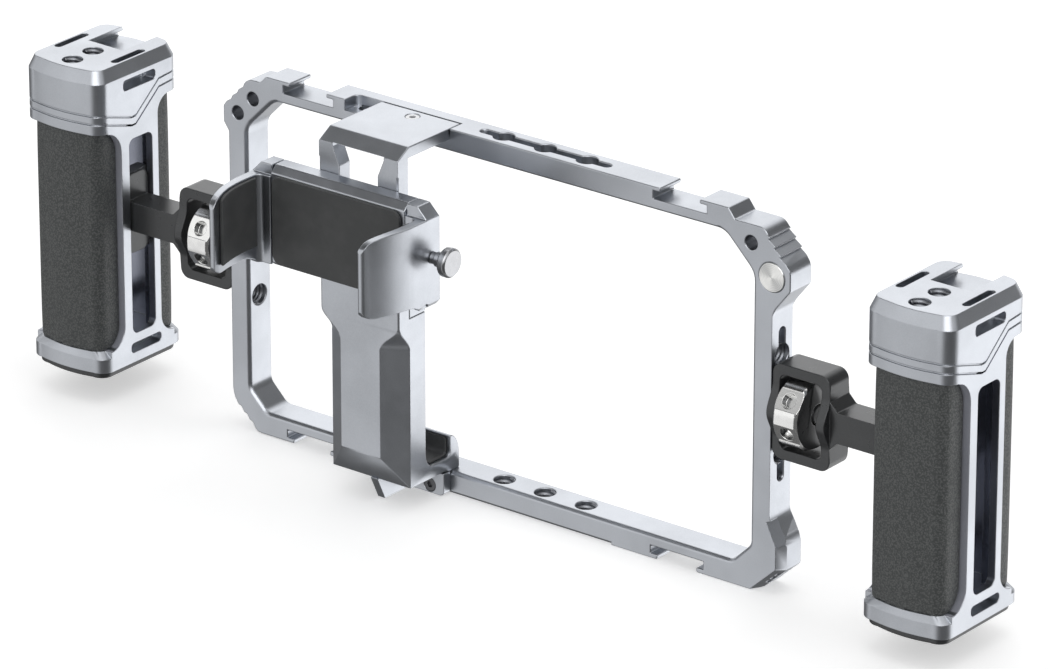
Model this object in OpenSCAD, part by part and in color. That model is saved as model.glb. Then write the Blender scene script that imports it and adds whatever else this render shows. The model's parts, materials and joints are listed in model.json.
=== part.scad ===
// Smartphone video rig: a flat aluminium cage with a padded phone clamp on a hooked bracket
// and two leather-covered side handles on thumb-screw mounts.
// X runs along the cage, +X to the right. Y is its depth, with the phone clamp on the -Y side.
// Z is up. The origin is the middle of the underside of the bottom rail, on the tripod thread.

/* [Cage] */
// Width over the two columns
cage_w = 197.9; // [188:0.1:216]
// Height over the two rails
cage_h = 114.1; // [110:0.1:124]
// Depth of the bar stock, front to back
cage_d = 10.1; // [9.6:0.1:12]
// Thickness of each column
column_t = 6.8; // [6.2:0.1:8.4]
// Thickness of the top and the bottom rail
rail_t = 7.2; // [6.6:0.1:8.4]
// Diagonal cut across the two upper corners of the opening
upper_corner = 10.4; // [7:0.1:12]
// Diagonal cut across the two lower corners of the opening
lower_corner = 6.2; // [4:0.1:8]
// Bevel on the front edges of the opening
edge_bevel = 0.9; // [0.4:0.1:1.2]
// Reach of the upper right ear beyond its column
ear_reach = 6.1; // [5:0.1:7]
// Drop of both upper ears below the top rail
ear_drop = 3; // [2.4:0.1:3.6]
// Diameter of the strap holes in the upper ears
ear_hole_d = 4.2; // [3:0.1:4.6]
// Diameter of the turned disc let into the upper right ear
disc_d = 8.8; // [7:0.1:9.4]

/* [Cold shoes] */
// Width of a cold shoe's channel
shoe_w = 18.7; // [18.3:0.1:19]
// Width between a cold shoe's lips
shoe_gap = 13.8; // [12.4:0.1:14.4]
// Thickness of a cold shoe's lips
shoe_lip = 1.3; // [1:0.1:1.6]
// Height of a cold shoe's channel under the lips
shoe_h = 2.4; // [2.1:0.1:2.8]
// Middle of the left cold shoes
shoe_left_x = -68.6; // [-71:0.1:-67]
// Middle of the right cold shoes
shoe_right_x = 66.4; // [60:0.1:70]

/* [Threaded holes and slots] */
// Diameter of the quarter-inch threaded holes
thread_d = 6.35; // [5.1:0.05:6.5]
// Distance between neighbouring threaded holes
thread_pitch = 15; // [12:0.5:16]
// Width of the locating slot that links the holes
slot_w = 2.9; // [2.4:0.1:3.4]
// Length of the locating slot
slot_l = 46.8; // [45:0.1:50]
// Depth of the locating slot
slot_depth = 2.5; // [2:0.1:3]

/* [Bracket] */
// Width of the bracket
bracket_w = 29; // [27:0.1:31]
// Middle of the bracket along the cage
bracket_x = -30.6; // [-32:0.1:-29]
// Thickness of the bracket's top plate
plate_t = 3.5; // [3:0.1:4]
// Reach of the arms' front faces in front of the cage
bracket_reach = 23.4; // [22:0.1:26]
// Thickness of the two arms
arm_t = 4.9; // [4.4:0.1:5.4]
// Width between the arms behind the clamp
arm_gap = 14; // [13:0.1:16]
// Thickness of the bracket's lower body
body_t = 12.2; // [11.6:0.1:13]
// Distance of the rear block's lower end below the clamp's axis
block_drop = 25.3; // [23.6:0.1:26]
// Bevel of the lower body's front corners, across the width
bevel_x = 7.3; // [5:0.1:8.5]
// Bevel of the lower body's front corners, along the depth
bevel_y = 5; // [4:0.1:6]
// Height of the hooked foot above the bottom rail
hook_h = 11.2; // [10.6:0.1:13]
// Thickness of the hook's upright
hook_t = 4.4; // [4:0.1:5]

/* [Phone clamp] */
// Length of the clamp body between its jaws
clamp_w = 49.3; // [47:0.1:56]
// Height of the clamp body
clamp_h = 30.8; // [28:0.1:33]
// Thickness of the clamp body, front to back
clamp_t = 6.6; // [6.4:0.1:8]
// Distance of the clamp's axis below the top of the cage
clamp_drop = 27.5; // [26:0.1:29]
// Middle of the clamp along the cage
clamp_x = -33; // [-35:0.1:-31]
// Length of a jaw, along the depth
jaw_l = 23.8; // [20:0.1:28]
// Thickness of a jaw's wall
jaw_t = 3; // [2.6:0.1:3.4]
// Width of a jaw's block at the end of the body
jaw_base_w = 7.4; // [6.8:0.1:9]
// Thickness of the rubber pads
pad_t = 1.2; // [0.8:0.1:1.6]
// Opening travel of the left jaw
jaw_travel = 24; // [10:1:24]
// Diameter of the clamp screw's thread
lead_d = 3; // [2.8:0.1:3.2]
// Outer diameter of the sleeve nut in the left jaw
nut_d = 4.8; // [4.6:0.1:5]
// Diameter of the two guide rods
rod_d = 3.2; // [2.8:0.1:3.6]
// Distance of the guide rods from the clamp's axis
rod_offset = 9.6; // [8.8:0.1:10.6]
// Diameter of the clamp screw's head
head_d = 8.8; // [8:0.1:10]
// Thickness of the clamp screw's head
head_t = 3; // [2.5:0.1:4]

/* [Mounts] */
// Width of a mount's housing beside the cage
house_w = 20; // [19:0.1:24]
// Height of a mount's housing
house_h = 29; // [27.5:0.1:32]
// Thickness of a mount, front to back
mount_t = 9.2; // [8.8:0.1:9.6]
// Width of the window that the thumb wheel shows through
house_window = 14.3; // [13.6:0.1:14.8]
// Bulge of the housing's cheeks beside the thumb wheel
cheek = 2.8; // [2:0.1:3.4]
// Diameter of the thumb wheel
wheel_d = 21.4; // [20:0.1:22]
// Width of the thumb wheel
wheel_w = 8.4; // [7.6:0.1:9]
// Diameter of the tommy-bar holes in the thumb wheel
wheel_hole_d = 4.5; // [4:0.1:5]
// Height of the arm between housing and handle
arm_h = 9.2; // [8:0.1:10]
// Clear distance between the left housing and the left handle
left_arm = 18.7; // [16:0.1:26]
// Clear distance between the right housing and the right handle
right_arm = 20.7; // [16:0.1:26]
// Height of the foot that slides in the handle's window
foot_h = 25.6; // [24:0.1:30]

/* [Handles] */
// Width of a handle, along the cage
handle_w = 29.5; // [28.6:0.1:32]
// Depth of a handle between the starts of its crowned faces
handle_d = 37.3; // [36.4:0.1:41]
// Height of a handle with its base plate
handle_h = 98.4; // [96:0.1:108]
// Crown of the front and the rear face
crown = 1.15; // [0.6:0.05:1.6]
// Radius of the handle's upright corners
corner_r = 4.6; // [3.8:0.1:5]
// Height of the sloped lip below the leather
lip_h = 2; // [1:0.1:2.4]
// Depth of the leather below the handle's side faces
grip_inset = 2.3; // [1.8:0.1:2.6]
// Thickness of the leather with its backing
leather_t = 1.8; // [1.4:0.1:2]
// Width of the slide window in the side faces
window_w = 10.4; // [10:0.1:11]
// Height of the slide window
window_h = 62.4; // [56:0.1:66]
// Thickness of the wall around the slide window
window_wall = 2.5; // [2:0.1:3]
// Width of the strap slots in the cap
strap_w = 14.1; // [12:0.1:15]
// Thickness of the strap slots
strap_t = 2.5; // [2:0.1:2.6]
// Thickness of the base plate
base_t = 2.2; // [2:0.1:3]

/* [Clearances] */
// Gap on each side of a piece that slides between flat faces
slide_gap = 0.3; // [0.2:0.05:0.4]
// Radial gap between a shaft or a rod and its bore
bore_gap = 0.05; // [0.03:0.01:0.08]

/* [Hidden] */
$fn = 64;
cut = 0.5;
half_w = cage_w / 2;
half_d = cage_d / 2;
front_y = -half_d;
mid_z = cage_h / 2;
opening_half = half_w - column_t;
opening_top = cage_h - rail_t;
arm_front = front_y - bracket_reach;
arm_back = arm_front + arm_t;
body_back = arm_front + body_t;
plate_back = front_y + 5.2;
plate_under = cage_h - plate_t;
pocket_l = 38.6;
axis_z = cage_h - clamp_drop;
axis_y = arm_front - clamp_t / 2;
clamp_front = arm_front - clamp_t;
jaw_fillet = 2;
lining_t = 0.8;
jaw_out = clamp_w / 2 + jaw_base_w;
jaw_pad_h = clamp_h - 9.4;
body_top = axis_z - block_drop;
block_h = 34;
boss_h = 22;
block_screw_z = 4.7;
body_low = rail_t + 0.8;
hook_top = rail_t + hook_h;
latch_t = 3.1;
latch_low = 0.7;
latch_screw_x = bracket_x + 9.2;
latch_screw_z = 2.6;
plate_screw_y = front_y + 1.4;
web_t = 2.7;
bar_screw_z = foot_h / 2 - 4.5;
pin_z = thread_pitch / 2;
pin_d = slot_w - 0.4;
M3 = 3;

// Mount and handle places
house_x = half_w + house_w / 2;
house_r = 3.2;
root = 2.6;
window_in = 2.7;
wheel_x = half_w + window_in + 1.6 + wheel_w / 2;
wheel_travel = half_w + window_in + house_window - slide_gap - wheel_x - wheel_w / 2;
stud_d = thread_d - 2 * bore_gap;
left_handle_x = -(half_w + house_w + left_arm + handle_w / 2);
right_handle_x = half_w + house_w + right_arm + handle_w / 2;
handle_bottom = mid_z - handle_h / 2;
handle_top = mid_z + handle_h / 2;
handle_y = -0.25;
grip_half = handle_w / 2 - grip_inset;
core_half = grip_half - leather_t;
grip_front_y = handle_y - handle_d / 2 + 10.1;
grip_rear_y = handle_y + handle_d / 2 - 10.4;
cap_low = handle_top - 19.85;
rear_cap_low = handle_top - 14.65;
base_high = handle_bottom + 8.65;
rear_base_high = handle_bottom + 7.45;
front_low_r = 6.5;
rear_low_r = 5.7;
base_screw_y = handle_d / 2 - 5.65;
cap_hole_y = handle_y - handle_d / 2 + 5.95;
cap_hole_pitch = 9.2;
line_w = 0.5;
line_deep = 0.4;
channel_half_y = grip_rear_y - 0.2;
channel_half_x = handle_w / 2 - window_wall;
window_z = mid_z - 6.55;
foot_in = 1.6;
foot_w = window_w - 2 * slide_gap;
bar_w = 2 * channel_half_y - 2 * slide_gap;
bar_t = 4;
boss_d = 4.6;
boss_l = 1.7;

// Outline helpers

// Points of an arc about a centre
function arc(centre, r, from, to, n = 8) =
    [for (i = [0:n]) let (a = from + (to - from) * i / n) centre + r * [cos(a), sin(a)]];

// Points of a soft bend that leaves p0 towards p1 and ends at p2
function bend(p0, p1, p2, n = 5) =
    [for (i = [0:n]) let (t = i / n) pow(1 - t, 2) * p0 + 2 * t * (1 - t) * p1 + t * t * p2];

// The same points from last to first
function reversed(points) = [for (i = [len(points) - 1:-1:0]) points[i]];

// Points along a line from a to b that is cut into n teeth, with each foot a part of the way
// from one crest to the next
function teeth(a, b, n, deep, part = 0) =
    let (run = (b - a) / n, inwards = deep * [run[1], -run[0]] / norm(run))
    [for (i = [0:n - 1]) each [a + i * run, a + (i + part) * run + inwards], b];

// Four-cornered diagonal of the opening, eased at both ends
function diagonal(corner, sx, sz, c) = let (e = c * 0.25, k = e * 0.7) concat(
    bend(corner - [0, sz * (c + e)], corner - [0, sz * c], corner - [sx * k, sz * (c - k)]),
    bend(corner - [sx * (c - k), sz * k], corner - [sx * c, 0], corner - [sx * (c + e), 0]));

// Extrudes an outline drawn in X and Z along the depth, centred on the cage
module along_y(depth) {
    rotate([90, 0, 0]) linear_extrude(height = depth, center = true) children();
}

// Extrudes an outline drawn in Y and Z along X, centred
module along_x(width) {
    rotate([90, 0, 90]) linear_extrude(height = width, center = true) children();
}

// Shaft or bore along X, centred
module rod_x(d, l) {
    rotate([0, 90, 0]) cylinder(d = d, h = l, center = true);
}

// Shaft or bore along Y, centred
module rod_y(d, l) {
    rotate([90, 0, 0]) cylinder(d = d, h = l, center = true);
}

// Rectangle with round corners, centred
module round_rect(w, h, r) {
    square([w - 2 * r, h], center = true);
    square([w, h - 2 * r], center = true);
    for (x = [-1, 1], y = [-1, 1]) translate([x * (w / 2 - r), y * (h / 2 - r)]) circle(r);
}

// Cuts the edge off a straight run from p0 to p1 in X and Z, on the cage's front face
module front_chamfer(p0, p1, wide, deep) {
    run = p1 - p0;
    translate([p0[0], front_y, p0[1]]) rotate([0, -atan2(run[1], run[0]), 0])
        translate([norm(run) / 2, 0, 0]) along_x(norm(run) + 2 * wide)
            polygon([[-cut, -wide - wide * cut / deep], [deep, 0], [deep, 1], [-cut, 1]]);
}

// Mirrors the right-hand form to the left
module left_side() {
    mirror([1, 0, 0]) children();
}

// Cage

function ear_top_left() = let (c = -half_w, t = cage_h) concat(
    [[c, t - 20.3], [c - 1.9, t - 17.6], [c - 1.9, t - 12.6]],
    reversed(teeth([c + 6, t - 4.1], [c - 0.9, t - 11.2], 3, -0.5, 0.3)),
    [[c + 6.6, t - 3.4], [c + 8.1, t - 2.4], [c + 10.8, t - 2.2], [c + 12, t - 2.4]],
    [[c + 13.2, t - 1.4], [c + 14.2, t - 0.2], [c + 15, t]]);

function ear_top_right() = let (c = half_w, t = cage_h) concat(
    [[c - 15.6, t], [c - 13.3, t - ear_drop]],
    arc([c - 4.95, t - ear_drop - 3.6], 3.6, 90, 20),
    teeth([c - 1.2, t - ear_drop - 2.6], [c + ear_reach - 1.3, t - ear_drop - 9.6], 3, 0.75),
    [[c + ear_reach - 0.4, t - 13.9], [c + ear_reach, t - 15.2], [c + ear_reach, t - 20.2]],
    [[c + 4.35, t - 22.4], [c + 1.15, t - 26.5], [c, t - 28.9]]);

function ear_low_right() = let (c = half_w) [
    [c, 24.4], [c + 0.3, 22.9], [c + 1.2, 20.9], [c + 3.2, 16.9], [c + 3.85, 14.6], [c + 3.85, 7.5],
    [c - 3.8, 0.4], [c - 5, 0]];

function ear_low_left() = let (c = -half_w) concat(
    [[c + 11.2, 0], [c + 9.4, 0.2]],
    reversed(teeth([c + 2, 7.1], [c + 8.3, 1.3], 3, -0.5, 0.4)),
    [[c + 0.8, 9], [c + 0.3, 10.5], [c, 12.5]]);

// Front edges of the lower right ear that carry its deep bevel
function ear_low_path() = let (c = half_w)
    [[c + 1, 21.3], [c + 3.85, 15.4], [c + 3.85, 7.5], [c - 4, 0.2]];

// Outline of the opening, grown outwards by g
function opening_points(g = 0) =
    let (o = opening_half + g, t = opening_top + g, low = rail_t - g, k = g * (2 - sqrt(2)),
         a = diagonal([-o, t], -1, 1, upper_corner + k),
         b = diagonal([o, t], 1, 1, upper_corner + k),
         c = diagonal([o, low], 1, -1, lower_corner + k),
         d = diagonal([-o, low], -1, -1, lower_corner + k))
    concat(a, reversed(b), c, reversed(d));

// Plan of the bracket's pocket, open to the front and round at its left end
function pocket_plan() =
    let (r = 2, right = bracket_x + bracket_w / 2 + slide_gap / 3, left = right - pocket_l)
    concat([[left, front_y - cut]], arc([left + r, plate_back + 0.5 - r], r, 180, 90, 6),
        [[right, plate_back + 0.5], [right, front_y - cut]]);

// Channel and mouth of a cold shoe that opens upwards at z = 0, along the whole depth
module shoe_cut(length) {
    translate([-shoe_gap / 2, -length / 2, -shoe_lip - shoe_h])
        cube([shoe_gap, length, shoe_lip + shoe_h + cut]);
    translate([-shoe_w / 2, -length / 2, -shoe_lip - shoe_h])
        cube([shoe_w, length, shoe_h]);
}

// Locating slot and threaded holes, cut down from z = 0 along X
module slot_and_holes(first, depth) {
    translate([first + thread_pitch, 0, -slot_depth]) linear_extrude(height = slot_depth + cut)
        round_rect(slot_l, slot_w, slot_w / 2 - 0.01);
    for (i = [0:2]) translate([first + i * thread_pitch, 0, -depth - cut])
        cylinder(d = thread_d, h = depth + 2 * cut);
}

// Bevel round the opening's front edge
module opening_bevel() {
    hull() for (g = [0, edge_bevel + cut]) translate([0, front_y + edge_bevel - g, 0])
        along_y(0.02) polygon(opening_points(g));
}

module cage_frame() {
    color("#b9bcc2") difference() {
        along_y(cage_d) difference() {
            polygon(concat(ear_top_left(), ear_top_right(), ear_low_right(), ear_low_left()));
            polygon(opening_points());
        }
        for (x = [shoe_left_x, shoe_right_x]) {
            translate([x, 0, cage_h]) shoe_cut(cage_d + 2 * cut);
            translate([x, 0, 0]) mirror([0, 0, 1]) shoe_cut(cage_d + 2 * cut);
        }
        translate([0, 0, cage_h]) slot_and_holes(0, rail_t);
        for (i = [0:2]) translate([i * thread_pitch, 0, -cut])
            cylinder(d = thread_d, h = rail_t + 2 * cut);
        for (s = [0, 1]) mirror([s, 0, 0]) translate([half_w, 0, mid_z]) rotate([0, 90, 0])
            slot_and_holes(-thread_pitch, column_t);
        // Pocket for the bracket's top plate, open to the front
        translate([0, 0, plate_under]) linear_extrude(height = plate_t + cut) polygon(pocket_plan());
        translate([bracket_x, plate_screw_y, plate_under - 3]) cylinder(d = M3, h = 4);
        translate([bracket_x + bracket_w / 2 - pocket_l + 3.2, 0, -cut + plate_under - 2])
            cylinder(d = M3, h = 2 + 2 * cut);
        // Strap holes and disc seat in the upper ears
        for (p = [[half_w - 7.6, cage_h - 8.6], [-half_w + 3.6, cage_h - 13.8],
                  [-half_w + 9.4, cage_h - 8.2]])
            translate([p[0], 0, p[1]]) rod_y(ear_hole_d, cage_d + 2 * cut);
        translate([half_w - 0.3, front_y, cage_h - 17.2]) rod_y(disc_d, 2);
        // Deep front bevel round the lower right ear, and the grooves in its facet
        for (i = [0:2]) front_chamfer(ear_low_path()[i], ear_low_path()[i + 1], 1.6, 3.5);
        for (i = [1:3])
            let (a = ear_low_path()[2], b = ear_low_path()[3], p = a + (b - a) * (0.1 + 0.2 * i))
            translate([p[0], 0, p[1]]) rotate([0, -atan2(b[1] - a[1], b[0] - a[0]), 0])
                cube([1.1, cage_d + 2 * cut, 1.4], center = true);
        opening_bevel();
        front_chamfer([shoe_right_x - shoe_w / 2 - 15, 0], [bracket_x + bracket_w / 2, 0], 1, 1);
        // Seat of the latch screw
        translate([latch_screw_x, front_y, latch_screw_z]) rod_y(2.5, 8);
    }
}

module ear_disc() {
    color("#d5d6d8") translate([half_w - 0.3, front_y + 0.4, cage_h - 17.2]) rod_y(disc_d, 1.2);
}

// Bracket

// Inner bend between the hook's front and the floor of its trough
function hook_bend() =
    bend([front_y - 0.1, body_low + 5.6], [front_y - 0.1, body_low + 3.9], [front_y - 1.8, body_low + 3.9]);

// Side outline of the bracket, in depth and height
function bracket_side() = concat(
    [[plate_back, cage_h], [arm_back + 0.2, cage_h], [arm_front, cage_h - 3]],
    [[arm_front, body_low + 9.2], [arm_back, body_low]],
    [[front_y - latch_t, body_low - 0.1], [front_y - 0.1, rail_t], [front_y + hook_t - 0.1, rail_t]],
    bend([front_y + hook_t - 0.1, rail_t + 4.4], [front_y + hook_t - 0.4, hook_top - 1.4],
        [front_y + 0.8, hook_top]),
    [[front_y - 0.1, hook_top]],
    hook_bend(),
    bend([body_back + 3.2, body_low + 3.8], [body_back + 0.4, body_low + 4], [body_back, body_low + 8.2]),
    [[body_back, body_top]],
    [[arm_back, body_top], [arm_back, plate_under], [plate_back, plate_under]]);

// Window between the arms, wider at its top
module bracket_window() {
    w = arm_gap / 2;
    low = axis_z - boss_h / 2 - slide_gap;
    polygon([[-w, low], [-w, cage_h - 9.6], [-w - 2.4, cage_h - 3.9], [-w - 2.4, cage_h - 2.9],
             [w + 2.4, cage_h - 2.9], [w + 2.4, cage_h - 3.9], [w, cage_h - 9.6], [w, low]]);
}

// Removes one front corner of the lower body, running out upwards in an S-shaped shoulder
module corner_bevel() {
    top = body_top - 10.3;
    run_out = 8.6;
    depth = bevel_x * bevel_y / norm([bevel_x, bevel_y]) - 0.3;
    shoulder = [for (i = [0:14]) [-depth * (1 - cos(180 * i / 14)) / 2, top + run_out * i / 14]];
    translate([bracket_w / 2 - bevel_x, arm_front, 0]) rotate([0, 0, atan2(bevel_y, bevel_x)])
        along_x(60) polygon(concat(shoulder,
            [[-depth, cage_h - 8], [-20, cage_h - 8], [-20, -1], [0, -1]]));
}

module bracket() {
    color("#a9abb0") difference() {
        translate([bracket_x, 0, 0]) difference() {
            along_x(bracket_w) polygon(bracket_side());
            translate([0, (arm_front + arm_back) / 2, 0]) along_y(arm_t + 2) bracket_window();
            corner_bevel();
            left_side() corner_bevel();
        }
        translate([bracket_x, plate_screw_y, plate_under - cut]) cylinder(d = M3, h = plate_t + 1);
        translate([bracket_x, plate_screw_y, cage_h - 1.6]) cylinder(d = 4.4, h = 2);
    }
}

module plate_screw() {
    color("#8d9096") translate([bracket_x, plate_screw_y, 0]) difference() {
        union() {
            translate([0, 0, cage_h - 1.6]) cylinder(d = 4.2, h = 1.4);
            translate([0, 0, plate_under - 2.6]) cylinder(d = M3 - 0.1, h = plate_t + 1.5);
        }
        translate([0, 0, cage_h - 1.1]) cylinder(d = 2, h = 2, $fn = 6);
    }
}

// Block behind the arms, with a boss through their window that carries the clamp
module rear_block() {
    color("#6d6f73") translate([bracket_x, 0, 0]) difference() {
        union() {
            translate([-bracket_w / 2, arm_back, body_top]) cube([bracket_w, body_back - arm_back, block_h]);
            translate([-arm_gap / 2 + 0.1, arm_front, axis_z - boss_h / 2])
                cube([arm_gap - 0.2, arm_t + 1, boss_h]);
        }
        for (s = [-1, 1]) translate([0, 0, axis_z + s * block_screw_z]) {
            translate([0, (arm_front + body_back) / 2, 0]) rod_y(2.6, 20);
            translate([0, body_back, 0]) rod_y(5, 5);
        }
    }
}

module block_screws() {
    color("#2c2d2f") for (s = [-1, 1]) translate([bracket_x, 0, axis_z + s * block_screw_z]) difference() {
        union() {
            translate([0, body_back - 1.4, 0]) rod_y(4.6, 2);
            translate([0, arm_front + 3.4, 0]) rod_y(2.5, 11.4);
        }
        translate([0, body_back, 0]) rotate([90, 0, 0]) cylinder(d = 2.3, h = 2, center = true, $fn = 6);
    }
}

// Latch: a web under the bracket that turns into a plate against the rail's front
module latch_plate() {
    color("#9b9da3") translate([bracket_x, 0, 0]) difference() {
        union() {
            translate([1.25, 0, 0]) along_x(web_t) polygon([[arm_back - 0.6, body_low],
                [arm_back + 2.9, latch_low], [front_y - latch_t, latch_low],
                [front_y - latch_t, body_low - 0.1], [arm_back, body_low]]);
            translate([0, front_y - latch_t / 2, 0]) along_y(latch_t) polygon(concat(
                [[-0.1, 0]], arc([bracket_w / 2 - 1.6, 1.6], 1.6, -90, 0, 6),
                [[bracket_w / 2, rail_t], [-0.1, rail_t]]));
        }
        translate([latch_screw_x - bracket_x, front_y - latch_t, latch_screw_z]) rod_y(4.4, 2.6);
        translate([latch_screw_x - bracket_x, front_y - 1, latch_screw_z]) rod_y(2.6, 6);
    }
}

module latch_screw() {
    color("#34363a") translate([latch_screw_x, 0, latch_screw_z]) difference() {
        union() {
            translate([0, front_y - latch_t + 0.7, 0]) rod_y(4.2, 1.2);
            translate([0, front_y + 0.4, 0]) rod_y(2.4, 5.4);
        }
        translate([0, front_y - latch_t, 0]) rotate([90, 0, 0])
            cylinder(d = 2, h = 1.6, center = true, $fn = 6);
    }
}

// Rubber lining over the hook's front and along the trough's floor
module hook_pad() {
    lined = concat([[front_y - 0.1, hook_top - 1.2]], hook_bend(), [[body_back + 3.2, body_low + 3.8]]);
    color("#1d1e20") translate([bracket_x, 0, 0]) along_x(bracket_w - 2.4) polygon(concat(lined,
        [for (p = reversed(lined)) p + [-lining_t, lining_t]]));
}

// Phone clamp

module clamp_body() {
    color("#8b8e94") difference() {
        translate([clamp_x, 0, axis_z]) along_x(clamp_w) polygon([
            [arm_front, clamp_h / 2], [clamp_front + 2, clamp_h / 2], [clamp_front, clamp_h / 2 - 2.2],
            [clamp_front, -clamp_h / 2 + 1], [clamp_front + 1, -clamp_h / 2], [arm_front, -clamp_h / 2]]);
        translate([clamp_x, axis_y, axis_z]) {
            rod_x(nut_d + 2 * bore_gap, clamp_w + 2);
            for (s = [-1, 1]) translate([0, 0, s * rod_offset])
                rod_x(rod_d + 2 * bore_gap, clamp_w + 2);
        }
        for (s = [-1, 1]) translate([bracket_x, arm_front, axis_z + s * block_screw_z])
            rod_y(2.5, clamp_t - 1.8);
    }
}

module back_pad() {
    color("#232426") translate([clamp_x, clamp_front - pad_t / 2, axis_z - 0.7])
        along_y(pad_t) round_rect(clamp_w - 2, clamp_h - 3.6, 3);
}

// Inner face of a jaw's wall in plan, from near its tip back to the clamp body
function jaw_inner() = let (o = jaw_out - jaw_t, f = clamp_front, l = jaw_l) concat(
    bend([o - 2.2, f - l * 0.84], [o - 0.2, f - l * 0.58], [o, f - l * 0.3]),
    [[o, f - jaw_fillet - 0.05]]);

// Plan of a jaw: a block at the body's end, and a wall that curves inwards to its tip
function jaw_plan() = let (o = jaw_out, f = clamp_front, l = jaw_l) concat(
    [[clamp_w / 2, f + clamp_t], [o, f + clamp_t], [o, f - l * 0.2]],
    bend([o - 0.1, f - l * 0.3], [o - 0.9, f - l * 0.62], [o - 3.2, f - l * 0.88]),
    arc([o - 4.9, f - l * 0.93], 1.3, -20, -130, 6), jaw_inner(),
    arc([o - jaw_t - jaw_fillet, f - jaw_fillet], jaw_fillet, 0, 90, 6), [[clamp_w / 2, f]]);

// Upright outline of a jaw's wall, in depth and height
function jaw_face() = let (h = clamp_h / 2, f = clamp_front, l = jaw_l) concat(
    [[arm_front, h - 3.4], [f - l * 0.6, h - 3.4]],
    bend([f - l * 0.72, h - 3.6], [f - l, h - 4], [f - l, h - 9.2]),
    bend([f - l, -h + 8], [f - l, -h + 3.4], [f - l + 5, -h + 3]),
    bend([f - 7, -h + 2.6], [f - 3, -h + 2.2], [f - 1, -h]),
    [[arm_front, -h]]);

// Right jaw about the middle of the clamp, as a block at the body's end and a curved wall
module jaw() {
    h = clamp_h / 2;
    intersection() {
        translate([0, 0, -h]) linear_extrude(height = clamp_h) polygon(jaw_plan());
        union() {
            along_x(4 * jaw_out) polygon(jaw_face());
            translate([0, clamp_front + 0.8, -h]) cube([jaw_out, clamp_t, clamp_h]);
        }
        // Bevel across the outer top edge
        along_y(4 * (jaw_l - clamp_front)) polygon([[0, h], [jaw_out - 3.4, h], [jaw_out, h - 3.4],
            [jaw_out, -h + 1.6], [jaw_out - 1.4, -h], [0, -h]]);
    }
}

// Pad on a jaw's inner face, cut back along the outline of the wall's tip
module jaw_pad() {
    inner = jaw_inner();
    intersection() {
        translate([0, 0, 0.9 - jaw_pad_h / 2]) linear_extrude(height = jaw_pad_h) polygon(concat(
            [for (p = inner) p - [pad_t, 0]], reversed(inner)));
        translate([0, 0.9, -0.6]) along_x(4 * jaw_out) polygon(jaw_face());
    }
}

module right_jaw() {
    color("#8b8e94") translate([clamp_x, 0, axis_z]) difference() {
        jaw();
        translate([jaw_out - jaw_base_w / 2, axis_y, 0]) rod_x(lead_d + 2 * bore_gap, jaw_base_w + 2);
        // Small scallop in the lower edge
        translate([jaw_out, clamp_front + 0.4, -clamp_h / 2 + 0.2]) rod_x(3.4, 2.4);
    }
}

module right_jaw_pad() {
    color("#232426") translate([clamp_x, 0, axis_z]) jaw_pad();
}

module left_jaw() {
    color("#8b8e94") translate([clamp_x - slide_gap, 0, axis_z]) left_side() difference() {
        jaw();
        translate([clamp_w / 2 + jaw_base_w / 2 - 1.4, axis_y, 0]) {
            rod_x(nut_d, jaw_base_w);
            for (s = [-1, 1]) translate([0, 0, s * rod_offset]) rod_x(rod_d, jaw_base_w);
        }
    }
}

module left_jaw_pad() {
    color("#232426") translate([clamp_x - slide_gap, 0, axis_z]) left_side() jaw_pad();
}

// Places of the pieces that run inside the clamp body, measured from its middle
nut_out = clamp_w / 2 + jaw_base_w - 1.4 + slide_gap;
nut_l = jaw_travel + 12;

module sleeve_nut() {
    color("#b3b5b8") translate([clamp_x - nut_out + nut_l / 2, axis_y, axis_z]) difference() {
        rod_x(nut_d, nut_l);
        rod_x(lead_d + 2 * bore_gap, nut_l + 2);
    }
}

module guide_rods() {
    color("#c3c5c8") for (s = [-1, 1])
        translate([clamp_x - nut_out + (nut_l + 8) / 2, axis_y, axis_z + s * rod_offset])
            rod_x(rod_d, nut_l + 8);
}

module clamp_screw() {
    head_x = jaw_out + 4.5;
    ease = 0.6;
    r = head_d / 2;
    color("#c6c8cb") translate([clamp_x, axis_y, axis_z]) {
        translate([(jaw_out - nut_out + jaw_travel) / 2 + 1, 0, 0])
            rod_x(lead_d, jaw_out + nut_out - jaw_travel + 6);
        translate([(jaw_out + slide_gap + head_x - 2.4) / 2, 0, 0])
            rod_x(lead_d + 0.6, head_x - 2.4 - jaw_out - slide_gap);
        translate([head_x - 1.2, 0, 0]) rod_x(lead_d + 1.6, 2.6);
        translate([head_x, 0, 0]) rotate([0, 90, 0]) rotate_extrude() polygon([
            [0, 0], [r - ease, 0], [r, ease], [r, head_t - ease], [r - ease, head_t], [0, head_t]]);
    }
}

// Mounts, drawn on the right

// Side outline of a housing, whose cheeks swell smoothly beside the thumb wheel
module cheek_outline() {
    half = 8.4;
    n = 16;
    side = [for (i = [-n:n]) [mount_t / 2 + cheek * (1 + cos(180 * i / n)) / 2, half * i / n]];
    translate([0, mid_z]) polygon(concat([[mount_t / 2, -house_h / 2]], side,
        [[mount_t / 2, house_h / 2], [-mount_t / 2, house_h / 2]],
        [for (i = [2 * n:-1:0]) [-side[i][0], side[i][1]]], [[-mount_t / 2, -house_h / 2]]));
}

module mount_front() {
    translate([house_x, mid_z]) round_rect(house_w, house_h, house_r);
}

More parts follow.
